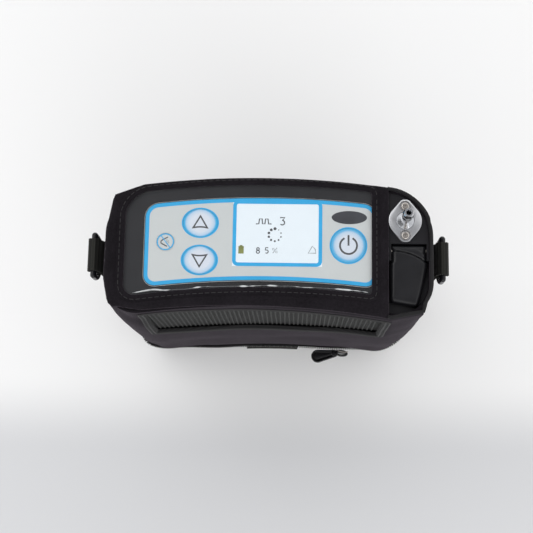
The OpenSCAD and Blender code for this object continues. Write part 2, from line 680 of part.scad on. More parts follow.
module air_tubes() color([0.9, 0.9, 0.88]) {
    head = [[-26, comp_y, 132.5], [-18, comp_y, 132.5], [-7, comp_y, 128], [0, comp_y, 116], [1.5, comp_y, 98],
        [1.5, comp_y, 80], [1, comp_y, 68], [3.2, comp_y, 61], [6, comp_y, 60]];
    swept(smooth(head, 3), 1.95, 10, [0, 1, 0]);
    for (y = [-14, 14]) rod_x(y, 62, 48, cartridge_x - 2.6, 1.95);
    inlet = [[-60, -19, 130], [-64, -18, 124], [-70, -16, 114], [-75.5, -11, 104], [-77.5, -5, 96], [-75.5, -1, 91],
        [-73, -1, 90], [-70.2, -1, 90]];
    swept(smooth(inlet, 3), 2.1, 10, [0.1, 0.9, -0.4]);
}

module intake_filter() color([0.75, 0.75, 0.72])
    bent_panel([-64, -26], [-29.4, -25.8], [126, 171]);

module fan_frame() color([0.08, 0.08, 0.09]) {
    hub_y = [fan_y[1] - 1.6, fan_y[1]];
    x = [fan_c[0] - fan_size / 2, fan_c[0] + fan_size / 2];
    z = [fan_c[1] - fan_size / 2, fan_c[1] + fan_size / 2];
    difference() {
        box(x, fan_y, z);
        rod_y(fan_c[0], fan_c[1], fan_y[0] - 1, fan_y[1] + 1, fan_size / 2 - 1.6);
        for (sx = [-1, 1], sz = [-1, 1])
            rod_y(fan_c[0] + sx * 19.5, fan_c[1] + sz * 19.5, fan_y[0] - 1, fan_y[1] + 1, 1.6);
    }
    rod_y(fan_c[0], fan_c[1], hub_y[0], hub_y[1], 9);
    rod_y(fan_c[0], fan_c[1], fan_y[0] + 3, hub_y[1], 1.2);
    for (a = [30, 150, 270]) translate([fan_c[0], 0, fan_c[1]]) rotate([0, a, 0])
        box([8, fan_size / 2 - 1], hub_y, [-1.2, 1.2]);
}

module fan_rotor() color([0.16, 0.16, 0.17]) {
    y = [fan_y[0] + 1.2, fan_y[1] - 2.2];
    blades = 7;
    difference() {
        rod_y(fan_c[0], fan_c[1], y[0], y[1], 8.6);
        rod_y(fan_c[0], fan_c[1], y[0] + 1.4, y[1] + 1, 1.2 + running);
    }
    for (i = [0:blades - 1]) translate([fan_c[0], (y[0] + y[1]) / 2, fan_c[1]])
        rotate([0, i * 360 / blades, 0]) rotate([35, 0, 0]) box([8, 20.4], [-0.5, 0.5], [-5, 5]);
}

// ---------------------------------------------------------------- battery

module battery_case() color([0.11, 0.11, 0.12]) difference() {
    floor_t = 1.8;
    union() {
        tucked(0, [battery_z0, tuck_h]);
        prism(outline(), tuck_h - eps, battery_z1 - 1.8);
    }
    tucked(-floor_t, [battery_z0 + floor_t, tuck_h]);
    prism(outline(-floor_t), tuck_h - eps, battery_z1);
    box([-10, 10], [-40, -20], [37.6, 45.6]);
}

module battery_lid() color([0.11, 0.11, 0.12]) difference() {
    prism(outline(), battery_z1 - 1.8, battery_z1);
    contact_slot();
}

module battery_cells() color([0.15, 0.35, 0.55]) for (sx = [-1, 1], d = [-18.4, 0, 18.4], z = [15.6, 36]) {
    x = sx * (cell_l / 2 + 1.5);
    slope = atan((arc_y(x + cell_l / 2) - arc_y(x - cell_l / 2)) / cell_l);
    translate([x, arc_y(x) - 1 + d, z]) rotate([0, 0, slope]) rod_x(0, 0, -cell_l / 2, cell_l / 2, cell_r);
}

module battery_contacts() color([0.75, 0.6, 0.25]) {
    blade_pitch = 4.6;
    for (x = [contact_x[0] + 1:blade_pitch:contact_x[1] - 1])
        box([x, x + 1.2], [contact_y + 1.5, contact_y + 4.5], [45.6, 49.5]);
    box(contact_x, [contact_y, contact_y + 6], [49.5, 55]);
}

module battery_latch() color([0.7, 0.35, 0.1]) {
    face = arc_y(0) - device_d / 2;
    box([-9, 9], [face + 0.4, face + 2.2], [41.4, 45.2]);
    box([-13, 13], [face + 2.2, face + 3.0], [40.4, 46.2]);
}

bag_shell();
bag_top_frame();
bag_window();
vent_mesh();
vent_trim();
zip_chain();
base_flap();
base_pull_tab();
zip_slider();
zip_puller();
side_webbing();
d_ring_left();
d_ring_right();
top_cover();
front_shell();
rear_shell();
chassis();
casing_screws();
membrane_overlay();
power_key();
up_key();
down_key();
mute_key();
lcd_lens();
lcd_module();
control_board();
alarm_buzzer();
breath_sensor();
main_board();
dc_inlet();
cartridge_body();
nozzle_plate();
oxygen_nozzle();
nozzle_screws();
pull_handle();
handle_pin();
sieve_tubes();
sieve_material();
sieve_retainers();
cartridge_seals();
compressor_housing();
compressor_mounts();
cylinder_heads();
pistons();
motor_stator();
motor_rotor();
motor_bearings();
valve_manifold();
solenoid_valves();
product_tank();
air_tubes();
intake_filter();
fan_frame();
fan_rotor();
battery_case();
battery_lid();
battery_cells();
battery_contacts();
battery_latch();
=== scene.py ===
"""Looks of the portable oxygen concentrator in its carry bag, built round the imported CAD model.
Shapes are worked out in millimetres and become metres when a mesh is made."""

import math

import bmesh
import bpy
from mathutils import Matrix, Vector, geometry, noise


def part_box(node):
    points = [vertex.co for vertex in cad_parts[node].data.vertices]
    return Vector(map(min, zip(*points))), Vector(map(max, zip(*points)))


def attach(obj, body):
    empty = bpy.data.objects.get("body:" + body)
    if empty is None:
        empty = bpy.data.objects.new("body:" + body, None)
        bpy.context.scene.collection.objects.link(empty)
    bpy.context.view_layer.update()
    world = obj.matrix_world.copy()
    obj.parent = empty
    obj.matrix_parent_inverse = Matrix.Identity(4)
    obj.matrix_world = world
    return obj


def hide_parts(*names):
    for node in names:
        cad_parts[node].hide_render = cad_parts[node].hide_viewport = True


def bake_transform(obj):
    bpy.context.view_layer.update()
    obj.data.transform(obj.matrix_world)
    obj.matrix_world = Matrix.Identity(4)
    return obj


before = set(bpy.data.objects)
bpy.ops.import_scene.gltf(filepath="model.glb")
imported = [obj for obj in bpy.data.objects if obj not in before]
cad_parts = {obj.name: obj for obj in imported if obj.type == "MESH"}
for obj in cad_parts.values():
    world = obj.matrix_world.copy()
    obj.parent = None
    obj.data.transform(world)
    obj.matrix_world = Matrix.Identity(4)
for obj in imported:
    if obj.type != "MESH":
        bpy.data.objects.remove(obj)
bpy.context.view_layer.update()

MM = 0.001


def box_mm(node):
    low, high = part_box(node)
    return low / MM, high / MM


# ---------------------------------------------------------------- driving sizes, in mm
BEND_R = 480.0                                   # kidney curve of the front and back
MID_Y = 3.7                                      # how far its middle lies behind the origin
CASE_X = box_mm("rear_shell")[1].x               # half the casing's width
CASE_D = 32.0                                    # half the casing's depth
CORNER_R = 19.8
STRAIGHT_X, STRAIGHT_D = CASE_X - CORNER_R, CASE_D - CORNER_R
BAG_OUT = box_mm("bag_shell")[1].x - CASE_X      # casing to the bag's outer face
BAG_WALL = 2.9
LEAST_OUT = 0.45                                 # the fabric stays this far off the casing
TOP_Z = box_mm("top_cover")[1].z                 # casing's top face
PANEL_Z0, PANEL_Z1 = (box_mm("bag_top_frame")[k].z for k in (0, 1))
FILM_LOW, FILM_HIGH = box_mm("bag_window")
OVERLAY_LOW, OVERLAY_HIGH = box_mm("membrane_overlay")
PRINT_Z = OVERLAY_HIGH.z + 0.01                  # underside of what is printed on the overlay
CHAIN_LOW, CHAIN_HIGH = box_mm("zip_chain")
FLAP_H = box_mm("base_flap")[1].z
TUCK, TUCK_H = 4.0, 25.3                         # the foot of the bag tucks in
CARTRIDGE_X = box_mm("cartridge_body")[0].x
PANEL_END_X = CARTRIDGE_X - 0.3                  # where the top panel stops, beside the open corner
WINDOW = (FILM_LOW.x, FILM_HIGH.x - 2.6, -24.0, 31.0)    # left, right, and depths from the kidney curve
WINDOW_R = (1.5, 12.0, 7.0, 1.5)                 # its corners: back right, back left, front left, front right
BAND = 4.2                                       # width of the folded band round the window
VENT = (-66.0, 64.0, 121.0, 176.0)               # left, right, bottom, top before the cloth is drawn
KEYS = {"power_key": (42.8, 0.8, 9.15, 9.15), "up_key": (-35.4, 11.6, 9.1, 7.45),
        "down_key": (-35.4, -8.4, 9.1, 7.45), "mute_key": (-53.6, 2.8, 4.7, 4.7)}    # x, depth and two radii
KEY_TOP = box_mm("power_key")[1].z
SCREEN = (5.4, 5.1)                              # middle of the display, as x and depth
OUTLET = (72.5, 16.0)
RING_AXIS = (94.0, -1.0, 172.0)                  # middle of the right D-ring's bar
SLIDER_X = 44.5


def arc_y(x):
    return MID_Y - BEND_R + math.sqrt(BEND_R ** 2 - x * x)


def bent(x, depth):
    """The place of a flat x and depth on the kidney-shaped plan."""
    return x, arc_y(x) + depth


def lerp(a, b, t):
    return a + (b - a) * t


def spread(a, b, steps):
    """Evenly spaced values from a to b, both included."""
    return [lerp(a, b, k / steps) for k in range(steps + 1)]


def smoothstep(a, b, v):
    """0 at a and beyond, 1 at b and beyond; a may be the larger."""
    t = min(max((v - a) / (b - a), 0.0), 1.0)
    return t * t * (3 - 2 * t)


def bump_at(v, centre, width):
    return math.exp(-((v - centre) / width) ** 2)


def soft_noise(x, y, z, size, seed=0.0):
    """Smooth noise from -1 to 1 with features of about the given size in mm."""
    return noise.noise(Vector((x, y, z)) / size + Vector((seed, 2.7 * seed, -1.3 * seed)))


# ---------------------------------------------------------------- materials
def new_material(name):
    material = bpy.data.materials.new(name)
    material.use_nodes = True
    tree = material.node_tree
    return material, tree, tree.nodes["Principled BSDF"]


def feed(tree, target, inputs):
    """Gives a node's inputs, by name or number, a value or another node's output."""
    for key, value in inputs.items():
        socket = target.inputs[key.replace("_", " ") if isinstance(key, str) else key]
        if isinstance(value, bpy.types.NodeSocket):
            tree.links.new(value, socket)
        else:
            socket.default_value = value


def node(tree, kind, *values, **inputs):
    """A shader node; values fill its first inputs, and the rest go by name."""
    made = tree.nodes.new("ShaderNode" + kind)
    feed(tree, made, {**dict(enumerate(values)), **inputs})
    return made


def math_node(tree, kind, *values):
    made = node(tree, "Math", *values)
    made.operation = kind
    return made.outputs["Value"]


def mix_of(tree, a, b, share):
    """A share of one value plus the rest of another."""
    return math_node(tree, "ADD", math_node(tree, "MULTIPLY", a, share),
                     math_node(tree, "MULTIPLY", b, 1 - share))


def place_mm(tree):
    """Position on the object in millimetres."""
    coords = node(tree, "TexCoord").outputs["Object"]
    return node(tree, "Mapping", Vector=coords, Scale=(1 / MM,) * 3).outputs["Vector"]


def noise_at(tree, place, size, detail=3.0, rough=0.55):
    made = node(tree, "TexNoise", Vector=place, Scale=1.0 / size, Detail=detail, Roughness=rough)
    return made.outputs["Fac"]


def ramp(tree, value, *stops):
    """A colour that follows a value through stops, each a position and a colour."""
    made = node(tree, "ValToRGB", value)
    elements = made.color_ramp.elements
    while len(elements) < len(stops):
        elements.new(0.5)
    for element, (at, colour) in zip(elements, stops):
        element.position = at
        element.color = (*colour, 1.0)
    return made.outputs["Color"]


def add_bump(tree, shader, height, strength, depth_mm):
    bump = node(tree, "Bump", Height=height, Strength=strength, Distance=depth_mm * MM)
    feed(tree, shader, {"Normal": bump.outputs["Normal"]})


def shade(colour, factor):
    return tuple(min(c * factor, 1.0) for c in colour)


def plain_material(name, colour, rough, grain=1.0, vary=0.15, bump=0.1, depth=0.03, **extra):
    """A moulded, painted or metal surface: fine grain in the bump, patches in colour and roughness."""
    material, tree, shader = new_material(name)
    wear = 0.12
    place = place_mm(tree)
    patches = noise_at(tree, place, 9.0, 4.0)
    fine = noise_at(tree, place, grain * 0.35, 2.0)
    patchy = ramp(tree, patches, (0.3, shade(colour, 1 - vary)), (0.7, shade(colour, 1 + vary)))
    worn = math_node(tree, "ADD", math_node(tree, "MULTIPLY", patches, wear), rough - wear / 2)
    feed(tree, shader, {"Base Color": patchy, "Roughness": worn, **extra})
    add_bump(tree, shader, fine, bump, depth)
    return material


def knit_material(name, dark, light):
    """Fabric: a fine knit in the bump, specks of lint and slow mottling in the colour."""
    material, tree, shader = new_material(name)
    place = place_mm(tree)
    speck = noise_at(tree, place, 0.9, 3.0, 0.75)
    mixed = mix_of(tree, speck, noise_at(tree, place, 14.0, 4.0), 0.64)
    tilted = node(tree, "Mapping", Vector=place, Rotation=(0.6, 0.6, 0.8))
    loops = node(tree, "TexVoronoi", Vector=tilted.outputs["Vector"], Scale=1.0 / 0.55)
    height = math_node(tree, "ADD", loops.outputs["Distance"], math_node(tree, "MULTIPLY", speck, 0.8))
    add_bump(tree, shader, height, 0.5, 0.12)
    feed(tree, shader, {"Base Color": ramp(tree, mixed, (0.34, dark), (0.68, light)), "Roughness": 0.92,
                        "Specular IOR Level": 0.09, "Sheen Weight": 0.09, "Sheen Roughness": 0.3,
                        "Sheen Tint": (0.95, 0.8, 0.97, 1)})
    return material


def ribbed_fabric(name, dark, light, pitch):
    """Woven tape: cross ribs in bump and colour over a speckled yarn."""
    material, tree, shader = new_material(name)
    place = place_mm(tree)
    ribs = node(tree, "TexWave", Vector=place, Scale=math.pi / 10 / pitch)
    ribs.bands_direction = "Z"
    mixed = mix_of(tree, ribs.outputs["Fac"], noise_at(tree, place, 0.4, 2.0, 0.7), 0.45)
    add_bump(tree, shader, mixed, 0.6, 0.15)
    feed(tree, shader, {"Base Color": ramp(tree, mixed, (0.25, dark), (0.8, light)), "Roughness": 0.8,
                        "Specular IOR Level": 0.2, "Sheen Weight": 0.06})
    return material


def film_material(name):
    """Thin clear vinyl: lets light straight through, mirrors at its own angle, with a faint haze."""
    material, tree, shader = new_material(name)
    haze = noise_at(tree, place_mm(tree), 22.0, 3.0)
    clear = node(tree, "BsdfTransparent", Color=(0.975, 0.98, 0.985, 1))
    milky = node(tree, "BsdfDiffuse", Color=(0.75, 0.78, 0.8, 1))
    gloss = node(tree, "BsdfGlossy", Color=(1, 1, 1, 1), Roughness=0.07)
    facing = node(tree, "LayerWeight", Blend=0.5).outputs["Facing"]
    rim = math_node(tree, "MULTIPLY", math_node(tree, "POWER", facing, 5.0), 0.9)
    hazy = math_node(tree, "ADD", math_node(tree, "MULTIPLY", haze, 0.02), 0.004)
    cloudy = node(tree, "MixShader", hazy, clear.outputs[0], milky.outputs[0])
    shiny = node(tree, "MixShader", math_node(tree, "ADD", rim, 0.035), cloudy.outputs[0], gloss.outputs[0])
    feed(tree, tree.nodes["Material Output"], {"Surface": shiny.outputs[0]})
    tree.nodes.remove(shader)
    return material


def key_material(name, centre, radii, rim_colour, face_colour, side_bias):
    """A key's printed face: pale in the middle, blue towards the rim, strongest at the two ends."""
    material, tree, shader = new_material(name)
    place = node(tree, "Mapping", Vector=node(tree, "TexCoord").outputs["Object"],
                 Location=(-centre[0] / radii[0], -centre[1] / radii[1], 0),
                 Scale=(1 / (radii[0] * MM), 1 / (radii[1] * MM), 0)).outputs["Vector"]
    reach = node(tree, "VectorMath", place)
    reach.operation = "LENGTH"
    across = node(tree, "SeparateXYZ", place).outputs["X"]
    ends = math_node(tree, "MULTIPLY", math_node(tree, "ABSOLUTE", across), side_bias)
    value = math_node(tree, "ADD", math_node(tree, "SUBTRACT", reach.outputs["Value"], side_bias), ends)
    cloud = math_node(tree, "MULTIPLY", noise_at(tree, place_mm(tree), 1.2, 2.0), 0.03)
    between = tuple(lerp(a, b, 0.3) for a, b in zip(face_colour, rim_colour))
    printed_face = ramp(tree, math_node(tree, "ADD", value, cloud),
                        (0.55, face_colour), (0.8, between), (0.93, rim_colour))
    feed(tree, shader, {"Base Color": printed_face, "Roughness": 0.42})
    return material


def brushed_metal(name, colour, rough, about=None):
    """Metal with fine machining marks; rings round a turned axis when about gives its centre in mm."""
    material, tree, shader = new_material(name)
    place = place_mm(tree)
    if about:
        shift = node(tree, "VectorMath", place, (*about, 0))
        shift.operation = "SUBTRACT"
        rings = node(tree, "TexWave", Vector=shift.outputs[0], Scale=0.9, Distortion=0.6, Detail=2.0)
        rings.wave_type = "RINGS"
        rings.rings_direction = "Z"
        marks = rings.outputs["Fac"]
    else:
        marks = noise_at(tree, place, 0.15, 3.0)
    patches = noise_at(tree, place, 5.0, 3.0)
    mixed = math_node(tree, "MULTIPLY", math_node(tree, "ADD", marks, patches), 0.08)
    patchy = ramp(tree, patches, (0.3, shade(colour, 0.93)), (0.7, shade(colour, 1.04)))
    feed(tree, shader, {"Base Color": patchy, "Roughness": math_node(tree, "ADD", mixed, rough - 0.08),
                        "Metallic": 1.0})
    add_bump(tree, shader, marks, 0.12, 0.02)
    return material


MATERIALS = {}


def look(name, kind, *values, **settings):
    MATERIALS[name] = kind(name, *values, **settings)


OVERLAY_GREY = (0.60, 0.625, 0.62)
look("neoprene", knit_material, (0.0058, 0.0048, 0.0062), (0.0155, 0.0132, 0.0165))
look("neoprene_base", knit_material, (0.010, 0.0085, 0.0105), (0.021, 0.018, 0.022))
look("binding", ribbed_fabric, (0.004, 0.004, 0.0045), (0.015, 0.0145, 0.0155), 0.8)
look("spacer_mesh", ribbed_fabric, (0.003, 0.003, 0.003), (0.012, 0.012, 0.0115), 0.9)
look("vent_rib", ribbed_fabric, (0.009, 0.0095, 0.009), (0.05, 0.052, 0.05), 1.0)
look("webbing", ribbed_fabric, (0.007, 0.007, 0.006), (0.03, 0.03, 0.026), 1.1)
look("window_film", film_material)
look("ring_black", plain_material, (0.008, 0.008, 0.010), 0.25, Specular_IOR_Level=0.35)
look("zip_black", plain_material, (0.007, 0.007, 0.008), 0.28, grain=0.8, Specular_IOR_Level=0.5)
look("casing_black", plain_material, (0.0105, 0.0102, 0.0125), 0.42, grain=0.8, bump=0.08,
     Specular_IOR_Level=0.3)
look("overlay", plain_material, OVERLAY_GREY, 0.5, grain=0.5, vary=0.012, bump=0.06)
look("key_blue", plain_material, (0.022, 0.4, 0.76), 0.4, vary=0.05)
# painted glow: the lens emits a faint pale light though it is no lamp, lightening the display
look("lens", plain_material, (0.72, 0.78, 0.82), 0.18, vary=0.012, bump=0.02,
     Emission_Strength=0.16, Emission_Color=(0.85, 0.94, 1.0, 1.0))
look("display", plain_material, (0.7, 0.85, 0.88), 0.35, vary=0.03)
look("board_green", plain_material, (0.02, 0.12, 0.05), 0.35, vary=0.2)
look("component_black", plain_material, (0.03, 0.03, 0.03), 0.5)
look("handle_black", plain_material, (0.0085, 0.0085, 0.0105), 0.36, grain=0.7, bump=0.1,
     Specular_IOR_Level=0.4)
look("plate_metal", brushed_metal, (0.68, 0.69, 0.71), 0.3)
look("nozzle_metal", brushed_metal, (0.66, 0.67, 0.69), 0.2, about=OUTLET)
look("steel", brushed_metal, (0.46, 0.43, 0.40), 0.3)
look("cast_alloy", plain_material, (0.5, 0.51, 0.53), 0.5, grain=1.5, bump=0.3, Metallic=1.0)
look("tube_alloy", brushed_metal, (0.7, 0.72, 0.74), 0.3)
look("zeolite", plain_material, (0.7, 0.64, 0.52), 0.9, grain=4.0, vary=0.2, bump=0.9, depth=0.4)
look("seal_rubber", plain_material, (0.03, 0.06, 0.12), 0.6)
look("mount_rubber", plain_material, (0.02, 0.02, 0.02), 0.7)
look("copper_winding", plain_material, (0.42, 0.2, 0.08), 0.35, Metallic=0.8)
look("manifold_plastic", plain_material, (0.55, 0.52, 0.44), 0.5)
look("tube_silicone", plain_material, (0.75, 0.75, 0.72), 0.35)
look("filter_foam", plain_material, (0.4, 0.4, 0.38), 0.95, grain=3.0, bump=0.9, depth=0.5)
look("cell_wrap", plain_material, (0.04, 0.13, 0.33), 0.3)
look("contact_brass", plain_material, (0.7, 0.52, 0.2), 0.3, Metallic=1.0)
look("latch_orange", plain_material, (0.55, 0.17, 0.03), 0.45)
look("ink", plain_material, (0.07, 0.073, 0.08), 0.5, vary=0.1)
look("faint_ink", plain_material, (0.33, 0.36, 0.38), 0.5, vary=0.06)
look("olive_ink", plain_material, (0.2, 0.22, 0.06), 0.5, vary=0.3)
look("oval_ink", plain_material, (0.03, 0.032, 0.04), 0.5, vary=0.25)
look("line_ink", plain_material, (0.006, 0.006, 0.009), 0.5)
# painted highlight: a pale glossy colour on the film edge's bead stands in for its glint
look("window_welt", plain_material, (0.62, 0.64, 0.65), 0.2, grain=0.6, vary=0.3, bump=0.4, Coat_Weight=0.6)
look("thread", plain_material, (0.0115, 0.0105, 0.012), 0.7, grain=0.4, vary=0.2, bump=0.5)
look("piping", plain_material, (0.014, 0.0135, 0.014), 0.6, grain=0.5, vary=0.25, bump=0.5)


# ---------------------------------------------------------------- mesh helpers
def mesh_piece(name, part, material, smooth=35.0):
    """A mesh object from points in mm and faces; the material is one of MATERIALS, by name, or another."""
    mesh = bpy.data.meshes.new(name)
    mesh.from_pydata([Vector(p) * MM for p in part[0]], [], part[1])
    mesh.validate()
    work = bmesh.new()
    work.from_mesh(mesh)
    bmesh.ops.recalc_face_normals(work, faces=work.faces)
    work.to_mesh(mesh)
    work.free()
    piece = bpy.data.objects.new(name, mesh)
    bpy.context.scene.collection.objects.link(piece)
    mesh.materials.append(MATERIALS.get(material, material))
    if smooth:
        mesh.shade_smooth()
        mesh.set_sharp_from_angle(angle=math.radians(smooth))
    return piece


def finished(piece, body, slot, *nodes):
    """Rides the piece on its body and hides the CAD nodes it stands for; the slot is not used."""
    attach(piece, body)
    if nodes:
        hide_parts(*nodes)
    return piece


def build(name, part, material, *nodes, body="housing", slot=None, smooth=35.0):
    """A finished piece; its slot, its material's name unless another is given, is not used."""
    return finished(mesh_piece(name, part, material, smooth), body, slot or material, *nodes)


def loft(rings, caps=True, wrap=False):
    """Points and faces of a skin over rings of points with the same count."""
    count, points, faces = len(rings[0]), [p for ring in rings for p in ring], []
    for j in range(len(rings) if wrap else len(rings) - 1):
        a, b = j * count, (j + 1) % len(rings) * count
        for k in range(count):
            n = (k + 1) % count
            faces.append((a + k, b + k, b + n, a + n))
    if caps and not wrap:
        faces += [tuple(range(count)), tuple(reversed(range(len(points) - count, len(points))))]
    return points, faces


def closed_sheet(front, back):
    """Points and faces of a sheet with thickness, between two grids of points with the same rows."""
    rows, count = len(front), len(front[0])
    points, shift, faces = [p for row in front + back for p in row], rows * count, []
    for j in range(rows - 1):
        for k in range(count - 1):
            quad = (j * count + k, j * count + k + 1, (j + 1) * count + k + 1, (j + 1) * count + k)
            faces += [quad, tuple(i + shift for i in reversed(quad))]
    border = [*range(count), *range(2 * count - 1, shift, count),
              *range(shift - 2, shift - count - 1, -1), *range(shift - 2 * count, 0, -count)]
    faces += [(a, b, b + shift, a + shift) for a, b in zip(border, border[1:] + border[:1])]
    return points, faces


def only_used(points, faces):
    """The part without the points that no face uses."""
    used = sorted({i for face in faces for i in face})
    place = {old: new for new, old in enumerate(used)}
    return [points[i] for i in used], [tuple(place[i] for i in face) for face in faces]


def swept(path, section, up=(0, 0, 1), closed=False):
    """A section, points (side, up) in mm, swept along a path of points; section may depend on the index."""
    rings = []
    for i, p in enumerate(path):
        ahead = path[(i + 1) % len(path)] if closed else path[min(i + 1, len(path) - 1)]
        behind = path[i - 1] if closed else path[max(i - 1, 0)]
        along = (Vector(ahead) - Vector(behind)).normalized()
        side = along.cross(Vector(up)).normalized()
        lift = side.cross(along)
        shape = section(i) if callable(section) else section
        rings.append([tuple(Vector(p) + side * s + lift * u) for s, u in shape])
    return loft(rings, wrap=closed)


def ellipse(x, y, rx, ry, count=64):
    return [(x + rx * math.cos(2 * math.pi * k / count), y + ry * math.sin(2 * math.pi * k / count))
            for k in range(count)]


def circle(radius, count=12, squash=1.0):
    return ellipse(0, 0, radius, squash * radius, count)


def flat(outline, z):
    return [(x, y, z) for x, y in outline]


def inset(outline, by):
    """The outline moved inwards by a small distance."""
    if by == 0:
        return list(outline)
    made = []
    for i, p in enumerate(outline):
        along = Vector(outline[(i + 1) % len(outline)]) - Vector(outline[i - 1])
        made.append(tuple(Vector(p) + Vector((-along.y, along.x)).normalized() * by))
    return made


def layered(outline, levels):
    """A flat piece through levels, each how far the outline grows and its height."""
    return loft([flat(inset(outline, -grow), z) for grow, z in levels])


def prism(outline, z0, z1, soften=0.0):
    """A flat piece with rounded upper edge; outline is a list of (x, y), anticlockwise."""
    if not soften:
        return layered(outline, [(0, z0), (0, z1)])
    turns = spread(0, math.pi / 2, 4)
    return layered(outline, [(0, z0)] + [(soften * (math.cos(a) - 1), z1 + soften * (math.sin(a) - 1))
                                         for a in turns])


def lathe(profile, centre, count=48):
    """A turned piece; profile is a list of (radius, height)."""
    return loft([flat(ellipse(*centre, r, r, count), z) for r, z in profile], wrap=True)


def joined(parts):
    """Several (points, faces) as one."""
    points, faces = [], []
    for p, f in parts:
        base = len(points)
        points += list(p)
        faces += [tuple(i + base for i in face) for face in f]
    return points, faces


def moved(part, by):
    return [tuple(Vector(p) + Vector(by)) for p in part[0]], part[1]


def turned(part, origin, angle):
    """The part turned about Z and put at an origin."""
    c, s = math.cos(angle), math.sin(angle)
    return [(origin.x + c * x - s * y, origin.y + s * x + c * y, z) for x, y, z in part[0]], part[1]


def walk(path, gaps, start=0.0):
    """Points along a path, each with the path's direction there, at gaps that repeat in turn."""
    made, along, distance = [], start, 0.0
    for a, b in zip(path, path[1:]):
        a, b = Vector(a), Vector(b)
        span = (b - a).length
        while along < distance + span:
            made.append((a.lerp(b, (along - distance) / span), (b - a).normalized()))
            along += gaps[(len(made) - 1) % len(gaps)]
        distance += span
    return made


def from_gap(points):
    """A closed run of points, started after its one wide gap."""
    start = next(i for i, p in enumerate(points) if (Vector(points[i - 1]) - Vector(p)).length > 20)
    return points[start:] + points[:start]


def add_modifier(piece, kind, **settings):
    made = piece.modifiers.new(kind.lower(), kind)
    for key, value in settings.items():
        setattr(made, key, value)


def applied(piece):
    """Makes the piece's modifiers real."""
    depsgraph = bpy.context.evaluated_depsgraph_get()
    mesh = bpy.data.meshes.new_from_object(piece.evaluated_get(depsgraph))
    piece.modifiers.clear()
    old = piece.data
    piece.data = mesh
    bpy.data.meshes.remove(old)


# ---------------------------------------------------------------- outlines
def round_rect(x0, x1, d0, d1, r, spacing=2.0, corner_steps=8, spans=None):
    """Flat rounded rectangle, anticlockwise, as (x, depth); spans fixes the steps along x and along depth."""
    corners = r if isinstance(r, tuple) else (r,) * 4    # back right, back left, front left, front right
    centres = [(x1, d1, -1, -1), (x0, d1, 1, -1), (x0, d0, 1, 1), (x1, d0, -1, 1)]
    arcs = []
    for (cx, cd, sx, sd), radius, start in zip(centres, corners, (0, 90, 180, 270)):
        arcs.append(arc_path(cx + sx * radius, cd + sd * radius, radius, start, start + 90, corner_steps))
    made = []
    for i, arc in enumerate(arcs):
        made += arc
        a, b = Vector(arc[-1]), Vector(arcs[(i + 1) % 4][0])
        steps = spans[i % 2] if spans else max(int((b - a).length / spacing), 1)
        made += [tuple(a.lerp(b, k / steps)) for k in range(1, steps)]
    return made


def arc_path(x, y, radius, start, stop, steps):
    """Points along an arc, between two angles in degrees."""
    return [(x + radius * math.cos(math.radians(t)), y + radius * math.sin(math.radians(t)))
            for t in spread(start, stop, steps)]


def rect_distance(x, d, x0, x1, d0, d1, r):
    """Distance outside (positive) or inside (negative) a rounded rectangle."""
    qx = abs(x - (x0 + x1) / 2) - (x1 - x0) / 2 + r
    qd = abs(d - (d0 + d1) / 2) - (d1 - d0) / 2 + r
    return math.hypot(max(qx, 0), max(qd, 0)) + min(max(qx, qd), 0) - r


def window_gap(x, depth):
    """Distance outside the window's edge, negative over the film."""
    left, front = x < (WINDOW[0] + WINDOW[1]) / 2, depth < (WINDOW[2] + WINDOW[3]) / 2
    return rect_distance(x, depth, *WINDOW, WINDOW_R[(2 if left else 3) if front else (1 if left else 0)])


def round_window(out, spacing):
    """The window's outline moved outwards."""
    return round_rect(WINDOW[0] - out, WINDOW[1] + out, WINDOW[2] - out, WINDOW[3] + out,
                      tuple(r + out for r in WINDOW_R), spacing)


class Column:
    """One upright line of the bag: a place on the casing's outline and the direction out of it."""

    def __init__(self, x, depth, nx, nd):
        self.x, self.depth, self.nx, self.nd = x, depth, nx, nd

    def out(self, by):
        """The flat x and depth at a distance out of the casing."""
        return self.x + self.nx * by, self.depth + self.nd * by

    def at(self, by):
        return bent(*self.out(by))


def perimeter(spacing=2.0, corner_steps=14):
    """Columns round the casing, anticlockwise from the back end of its left side."""
    a, b, made = STRAIGHT_X, STRAIGHT_D, []

    def side(x0, d0, x1, d1, nx, nd):
        steps = max(int(math.hypot(x1 - x0, d1 - d0) / spacing), 1)
        made.extend(Column(lerp(x0, x1, k / steps), lerp(d0, d1, k / steps), nx, nd) for k in range(steps))

    def corner(cx, cd, start):
        for k in range(corner_steps):
            t = math.radians(start + 90 * k / corner_steps)
            nx, nd = math.cos(t), math.sin(t)
            made.append(Column(cx + CORNER_R * nx, cd + CORNER_R * nd, nx, nd))

    side(-CASE_X, b, -CASE_X, -b, -1, 0)
    corner(-a, -b, 180)
    side(-a, -CASE_D, a, -CASE_D, 0, -1)
    corner(a, -b, 270)
    side(CASE_X, -b, CASE_X, b, 1, 0)
    corner(a, b, 0)
    side(a, CASE_D, -a, CASE_D, 0, 1)
    corner(-a, b, 90)
    return made


COLUMNS = perimeter()
# the columns round the front, from the back of the left side to the back of the right side
FRONT_COLUMNS = COLUMNS[:1 + next(i for i, c in enumerate(COLUMNS)
                                  if c.nx == 1 and c.nd == 0 and c.depth >= STRAIGHT_D - 2.2)]


def is_front(column):
    return column.depth < STRAIGHT_D - 0.01


def foot_tuck(z):
    return TUCK * max(0.0, 1 - z / TUCK_H)


# ---------------------------------------------------------------- bag
# how the fabric draws in round each top corner: two straight stretches, each given by its direction in
# degrees from the side and its distance from the corner's centre, and a round limit between them
TOP_CORNERS = {("left", "front"): ((11.2, 20.2), (74.4, 19.4), 22.3),
               ("left", "back"): ((10.5, 19.9), (77.9, 22.9), 25.6),
               ("right", "front"): ((14.4, 20.8), (70.3, 22.0), 24.2),
               ("right", "back"): ((9.0, 21.5), (75.0, 22.7), 22.6)}


